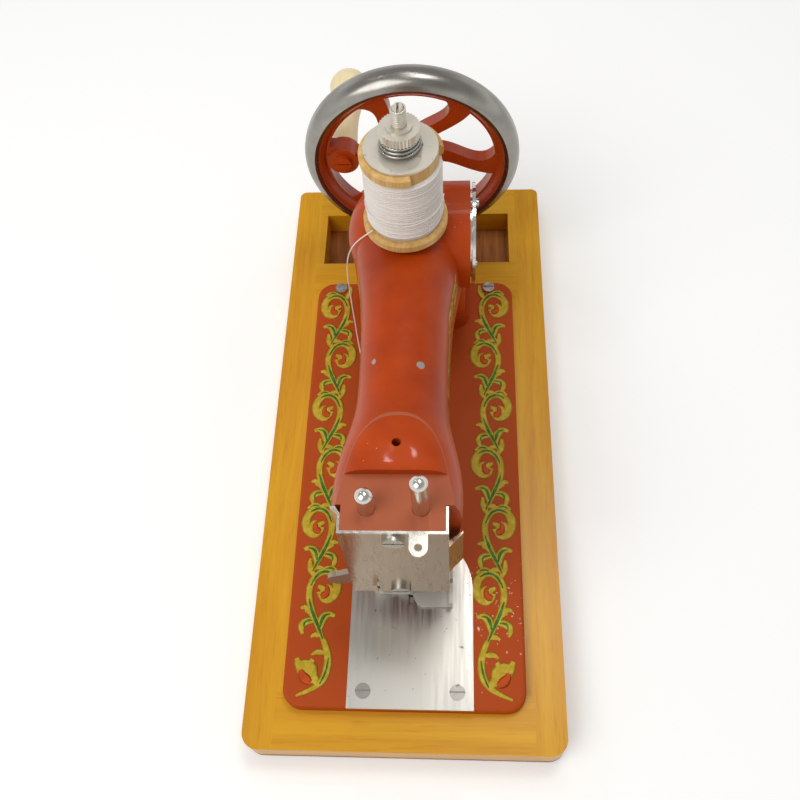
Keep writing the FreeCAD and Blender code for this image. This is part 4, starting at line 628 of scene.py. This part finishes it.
class SEWING_OT_coils(bpy.types.Operator):
    """Makes the conical tension coil, the screw thread on the spool pin and the presser's spring"""
    bl_idname = "sewing.coils"
    bl_label = "Coils and screw thread"

    def execute(self, context):
        sizes = context.scene.sewing_thread
        low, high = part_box("tension_spring")
        pin_low, pin_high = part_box("spool_pin")
        middle = (pin_low + pin_high) / 2
        wire = sizes.coil_wire
        wide = (high.x - low.x) / 2 - wire
        points = helix(middle, wide, wide * COIL_TAPER, low.z + wire, high.z - wire, sizes.coil_turns,
                       steps=20)
        piece("tension_coil", wire_mesh("tension_coil", points, wire, sides=3, smooth=4),
              bpy.data.materials["spring_wire"], "frame", "spring_steel", "tension_spring")

        pin = (pin_high.x - pin_low.x) / 2
        top = pin_high.z - 2 * sizes.screw_ridge
        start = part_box("tension_nut")[1].z + sizes.screw_ridge
        turns = (top - start) / sizes.screw_pitch
        sunk = pin - sizes.screw_ridge * RIDGE_SUNK
        ridge = helix(middle, sunk, sunk, start, top, turns)
        piece("pin_thread", wire_mesh("pin_thread", ridge, sizes.screw_ridge, sides=1, smooth=3),
              bpy.data.materials["satin_nickel"], "frame", "nickel")

        low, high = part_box("presser_spring")
        middle = (low + high) / 2
        wire = sizes.presser_wire
        wide = (high.x - low.x) / 2 - wire
        rings = helix(middle, wide, wide, low.z + wire, high.z - wire, sizes.presser_turns)
        shown = piece("presser_coil", wire_mesh("presser_coil", rings, wire, sides=2, smooth=3),
                      bpy.data.materials["spring_wire"], "frame", "spring_steel", "presser_spring")
        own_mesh(shown)
        return {"FINISHED"}


# How a leaf's bend grows along it, and its width from foot to tip
LEAF_TURNS = (0.08, 0.3, 0.75, 1.5)
LEAF_WIDTHS = (0.5, 0.95, 1.0, 0.7, 0.4)


def leaf(base, heading, size, bend, width):
    """One brush stroke on the flat that swells, then tapers and hooks over at its tip."""
    x, y = base
    points = [base]
    for turn in LEAF_TURNS:
        x += size / len(LEAF_TURNS) * math.cos(heading + bend * turn)
        y += size / len(LEAF_TURNS) * math.sin(heading + bend * turn)
        points.append((x, y))
    return points, [width * share for share in LEAF_WIDTHS]


# How much broader each colour's brush is than the radii written below
BRUSH = {"gold": 1.25, "leaf": 1.0, "berry": 1.3}
# One curl of the scroll, in half widths: how far it rises, and its long strokes with the radius at each point
RISE = 3.03
CURL = (
    ("gold", ((0.45, 0.0), (0.05, 0.75), (-0.36, 1.5), (-0.52, 2.2), (-0.34, 2.8), (0.06, 3.12), (0.5, 3.14),
              (0.88, 2.85), (1.0, 2.42), (0.86, 2.0), (0.52, 1.78), (0.18, 1.9), (0.12, 2.2)),
     (0.08, 0.13, 0.15, 0.16, 0.16, 0.16, 0.17, 0.2, 0.21, 0.19, 0.16, 0.14, 0.19)),
    ("leaf", ((0.4, 0.1), (0.08, 0.7), (-0.3, 1.38), (-0.46, 1.85)), (0.03, 0.08, 0.08, 0.03)),
    ("leaf", ((-0.42, 2.45), (-0.28, 2.82), (0.1, 3.12), (0.5, 3.12), (0.76, 2.95)),
     (0.03, 0.06, 0.07, 0.06, 0.03)),
)
# Its leaves: colour, foot, heading, length, bend and width, in half widths and radians
LEAVES = (
    ("gold", (0.15, 3.2), 0.35, 0.85, -0.7, 0.13), ("gold", (-0.3, 2.9), 2.2, 0.9, -0.5, 0.15),
    ("gold", (-0.05, 0.9), 3.0, 1.2, 1.5, 0.18), ("gold", (-0.3, 1.25), 2.3, 0.65, 0.8, 0.15),
    ("gold", (0.2, 0.45), 1.55, 1.3, -1.3, 0.2), ("gold", (0.1, 0.6), 1.9, 1.1, 0.7, 0.15),
    ("gold", (0.3, 0.25), 2.9, 0.55, 0.6, 0.12), ("gold", (0.5, 1.85), 1.9, 0.85, 0.6, 0.18),
    ("gold", (0.7, 1.95), 1.5, 0.7, 0.9, 0.14),
    ("leaf", (0.21, 0.6), 1.5, 0.9, -1.0, 0.08), ("leaf", (0.3, 3.24), 0.3, 0.5, -0.6, 0.05),
    ("leaf", (-0.2, 0.9), 3.0, 0.7, 1.4, 0.06), ("berry", (0.12, 1.98), 0.2, 0.5, 0.6, 0.16),
    ("berry", (0.42, 2.05), 1.3, 0.45, 0.5, 0.11),
)
# The finial at the front end, in the same measures
FINIAL = (
    ("gold", ((0.42, 0.1), (0.78, -0.55), (0.72, -1.45), (0.2, -2.0), (-0.75, -2.3)),
     (0.12, 0.17, 0.17, 0.12, 0.05)),
    ("leaf", ((0.76, -0.7), (0.72, -1.35), (0.4, -1.8)), (0.03, 0.07, 0.03)),
)
FINIAL_LEAVES = (
    ("gold", (0.35, -1.75), 2.7, 1.3, -1.2, 0.26), ("gold", (0.1, -1.6), 1.8, 1.1, 0.9, 0.26),
    ("gold", (-0.1, -1.5), 2.6, 1.1, -0.4, 0.25), ("gold", (0.55, -0.5), 2.9, 0.7, 0.6, 0.13),
    ("berry", (-0.05, -1.75), 2.7, 0.8, -0.5, 0.2),
)


def scroll(span, half, curls):
    """The strokes of one scroll along the second axis, by colour: curls to each side in turn and a finial."""
    tall = span / curls / RISE
    paint = {"gold": [], "leaf": [], "berry": []}

    def lay(strokes, leaves, side, start):
        drawn = list(strokes)
        for colour, foot, *shape in leaves:
            drawn.append((colour, *leaf(foot, *shape)))
        for colour, points, radii in drawn:
            placed = [(side * half * x, start + tall * y) for x, y in points]
            paint[colour].append((placed, [half * BRUSH[colour] * radius for radius in radii]))

    lay(FINIAL, FINIAL_LEAVES, -1, 0.0)
    for turn in range(curls):
        side = 1 if turn % 2 else -1
        lay(CURL, LEAVES, side, turn * span / curls)
    return paint


# Height of each colour's film above the enamel, so that the later strokes lie on the earlier ones
FILMS = {"gold": 0.03 * MM, "leaf": 0.07 * MM, "berry": 0.09 * MM}
# Thickness of a stroke as a share of its width
FLATNESS = 0.02
# Width of the arm's scrolls as a share of the bed's
ARM_SHARE = 0.7
# How much further the films stand out on the arm's rounded flanks, and where the search for the flanks starts
ARM_FILM = 0.05 * MM
OUTSIDE = 60.0 * MM


class SEWING_OT_scrolls(bpy.types.Operator):
    """Paints the scrolls along both sides of the bed and on the arm's flanks"""
    bl_idname = "sewing.scrolls"
    bl_label = "Scroll ornament"

    def execute(self, context):
        finish = context.scene.sewing_finish
        sizes = context.scene.sewing_scroll
        paints = {
            "gold": transfer_paint("gold_transfer", finish.gold, "#C8B03A"),
            "leaf": transfer_paint("leaf_transfer", finish.leaf, "#4F8A36"),
            "berry": transfer_paint("berry_transfer", finish.berry, "#AE3E04"),
        }
        bed_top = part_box("bed_plate")[1].z
        bed = scroll(sizes.band_back - sizes.band_front, sizes.band_half, sizes.bed_curls)
        for colour, strokes in bed.items():
            placed = []
            for side in (-1, 1):
                for points, radii in strokes:
                    laid = [(side * (sizes.band_x + x), sizes.band_front + y, 0.0) for x, y in points]
                    placed.append((laid, radii))
            mesh = stroke_mesh("bed_scroll_" + colour, placed, sides=1, smooth=3)
            mesh.transform(Matrix.Diagonal((1.0, 1.0, FLATNESS, 1.0)))
            mesh.transform(Matrix.Translation((0.0, 0.0, bed_top + FILMS[colour])))
            piece("bed_scroll_" + colour, mesh, paints[colour], "frame", "red_enamel")

        arm = scroll(sizes.arm_back - sizes.arm_front, sizes.band_half * ARM_SHARE, sizes.arm_curls)
        casting = NODES["arm_casting"]
        for colour, strokes in arm.items():
            placed = []
            for side in (-1, 1):
                for points, radii in strokes:
                    laid = [(side, sizes.arm_front + y, sizes.arm_height + x) for x, y in points]
                    placed.append((laid, radii))
            mesh = stroke_mesh("arm_scroll_" + colour, placed, sides=1, smooth=4)
            shape = bmesh.new()
            shape.from_mesh(mesh)
            for corner in shape.verts:
                side = math.copysign(1.0, corner.co.x)
                start = Vector((side * OUTSIDE, corner.co.y, corner.co.z))
                hit, spot, normal, _ = casting.ray_cast(start, Vector((-side, 0, 0)))
                if not hit:
                    raise RuntimeError("a scroll on the arm misses the casting")
                proud = (corner.co.x - side) * side * FLATNESS
                corner.co = spot + normal * (ARM_FILM + FILMS[colour] + proud)
            bmesh.ops.recalc_face_normals(shape, faces=shape.faces)
            shape.to_mesh(mesh)
            shape.free()
            piece("arm_scroll_" + colour, mesh, paints[colour], "frame", "red_enamel")
        return {"FINISHED"}


def lamp(name, at, aim, size, power):
    """A square soft lamp that faces a point."""
    light = bpy.data.lights.new(name, "AREA")
    light.size = size
    light.energy = power
    shown = bpy.data.objects.new(name, light)
    shown.location = at
    shown.rotation_euler = (Vector(aim) - Vector(at)).to_track_quat("-Z", "Y").to_euler()
    bpy.context.scene.collection.objects.link(shown)


def bright_to_the_eye(tree):
    """One for what the camera sees straight, mirrored or through glass, and nothing for light."""
    path = add(tree, "ShaderNodeLightPath")
    seen = path.outputs["Is Camera Ray"]
    for other in ("Is Glossy Ray", "Is Transmission Ray"):
        seen = add(tree, "ShaderNodeMath", {0: seen, 1: path.outputs[other]},
                   operation="MAXIMUM").outputs["Value"]
    return seen


# Half the floor's width, how far it lies under the base, and its glow to the eye
FLOOR_HALF = 3.0
FLOOR_DROP = 0.2 * MM
FLOOR_GLOW = 0.16
# Rise of the view between which the white wall fades into the sky
WALL_FADE = (0.25, 0.6)
# The lamps: name, place, aim, width, and the power that each takes with its share
LAMPS = (
    ("ceiling_lamp", (-0.55, -0.48, 1.0), (0.0, 0.0, 0.05), 0.8, "ceiling", 1.0),
    ("window_lamp", (0.17, 0.22, 1.0), (0.0, 0.0, 0.05), 0.3, "window", 1.0),
    ("strip_lamp", (-0.02, 0.55, 1.0), (0.0, 0.0, 0.08), 0.05, "strip", 1.0),
    ("far_strip_lamp", (-0.5, 0.5, 0.95), (0.0, 0.0, 0.08), 0.04, "strip", 0.6),
)


class SEWING_OT_stage(bpy.types.Operator):
    """Sets up the pale floor, the soft light and the photograph's view"""
    bl_idname = "sewing.stage"
    bl_label = "Stage"

    def execute(self, context):
        scene = context.scene
        stage = scene.sewing_stage
        shape = bmesh.new()
        bmesh.ops.create_grid(shape, x_segments=4, y_segments=4, size=FLOOR_HALF)
        mesh = bpy.data.meshes.new("floor")
        shape.to_mesh(mesh)
        shape.free()
        mesh.transform(Matrix.Translation((0.0, 0.0, -FLOOR_DROP)))
        made = bpy.data.materials.new("pale_floor")
        made.use_nodes = True
        tree = made.node_tree
        tree.nodes.clear()
        matt = add(tree, "ShaderNodeBsdfDiffuse", {"Color": opaque(linear("#F2F2F0"))})
        glow = add(tree, "ShaderNodeEmission")
        seen = bright_to_the_eye(tree)
        strength = add(tree, "ShaderNodeMath", {0: seen, 1: FLOOR_GLOW}, operation="MULTIPLY")
        tree.links.new(strength.outputs["Value"], glow.inputs["Strength"])
        both = add(tree, "ShaderNodeAddShader", {0: matt.outputs["BSDF"], 1: glow.outputs["Emission"]})
        add(tree, "ShaderNodeOutputMaterial", {"Surface": both.outputs["Shader"]})
        mesh.materials.append(made)
        floor = bpy.data.objects.new("floor", mesh)
        scene.collection.objects.link(floor)

        world = bpy.data.worlds.new("studio")
        scene.world = world
        world.use_nodes = True
        tree = world.node_tree
        tree.nodes.clear()
        seen = bright_to_the_eye(tree)
        upward = add(tree, "ShaderNodeTexCoord").outputs["Generated"]
        rise = add(tree, "ShaderNodeSeparateXYZ", {"Vector": upward}).outputs["Z"]
        wall = add(tree, "ShaderNodeMapRange", {"Value": rise, "From Min": WALL_FADE[0],
                                                "From Max": WALL_FADE[1], "To Min": 1.0, "To Max": 0.0})
        pale = add(tree, "ShaderNodeMath", {0: seen, 1: wall.outputs["Result"]}, operation="MULTIPLY")
        strength = add(tree, "ShaderNodeMapRange", {"Value": pale.outputs["Value"], "To Min": stage.sky,
                                                    "To Max": 1.0})
        sky = add(tree, "ShaderNodeBackground", {"Color": (1.0, 1.0, 1.0, 1.0),
                                                 "Strength": strength.outputs["Result"]})
        add(tree, "ShaderNodeOutputWorld", {"Surface": sky.outputs["Background"]})

        for name, at, aim, size, source, share in LAMPS:
            lamp(name, at, aim, size, getattr(stage, source) * share)

        scene.view_settings.view_transform = "Standard"
        flat = math.cos(stage.pitch)
        forward = Vector((math.sin(stage.yaw) * flat, math.cos(stage.yaw) * flat, -math.sin(stage.pitch)))
        level = Vector((math.cos(stage.yaw), -math.sin(stage.yaw), 0.0))
        down = forward.cross(level)
        right = level * math.cos(stage.roll) + down * math.sin(stage.roll)
        drop = down * math.cos(stage.roll) - level * math.sin(stage.roll)
        camera = bpy.data.cameras.new("view")
        camera.lens = stage.lens
        camera.clip_start = 0.01
        eye = bpy.data.objects.new("view", camera)
        turned = Matrix((right, -drop, -forward)).transposed().to_4x4()
        eye.matrix_world = Matrix.Translation(stage.eye) @ turned
        scene.collection.objects.link(eye)
        scene.camera = eye
        return {"FINISHED"}


STEPS = (SEWING_OT_castings, SEWING_OT_metalwork, SEWING_OT_woodwork, SEWING_OT_spool_thread,
         SEWING_OT_loose_thread, SEWING_OT_coils, SEWING_OT_scrolls, SEWING_OT_stage)
GROUPS = {"sewing_finish": SewingFinish, "sewing_thread": SewingThread, "sewing_scroll": SewingScroll,
          "sewing_stage": SewingStage}


class SEWING_PT_machine(bpy.types.Panel):
    """Lists the steps that dress the machine"""
    bl_idname = "SEWING_PT_machine"
    bl_label = "Sewing machine"
    bl_space_type = "VIEW_3D"
    bl_region_type = "UI"
    bl_category = "Sewing machine"

    def draw(self, context):
        for step in STEPS:
            self.layout.operator(step.bl_idname)
        for name, group in GROUPS.items():
            for field in group.__annotations__:
                self.layout.prop(getattr(context.scene, name), field)


def register():
    for group in GROUPS.values():
        bpy.utils.register_class(group)
    for name, group in GROUPS.items():
        setattr(bpy.types.Scene, name, PointerProperty(type=group))
    for step in STEPS:
        bpy.utils.register_class(step)
    bpy.utils.register_class(SEWING_PT_machine)


def unregister():
    bpy.utils.unregister_class(SEWING_PT_machine)
    for step in reversed(STEPS):
        bpy.utils.unregister_class(step)
    for name in GROUPS:
        delattr(bpy.types.Scene, name)
    for group in reversed(GROUPS.values()):
        bpy.utils.unregister_class(group)


def main():
    register()
    bpy.ops.sewing.castings()
    bpy.ops.sewing.metalwork()
    bpy.ops.sewing.woodwork()
    bpy.ops.sewing.spool_thread()
    bpy.ops.sewing.loose_thread()
    bpy.ops.sewing.coils()
    bpy.ops.sewing.scrolls()
    bpy.ops.sewing.stage()


if __name__ == "__main__":
    main()
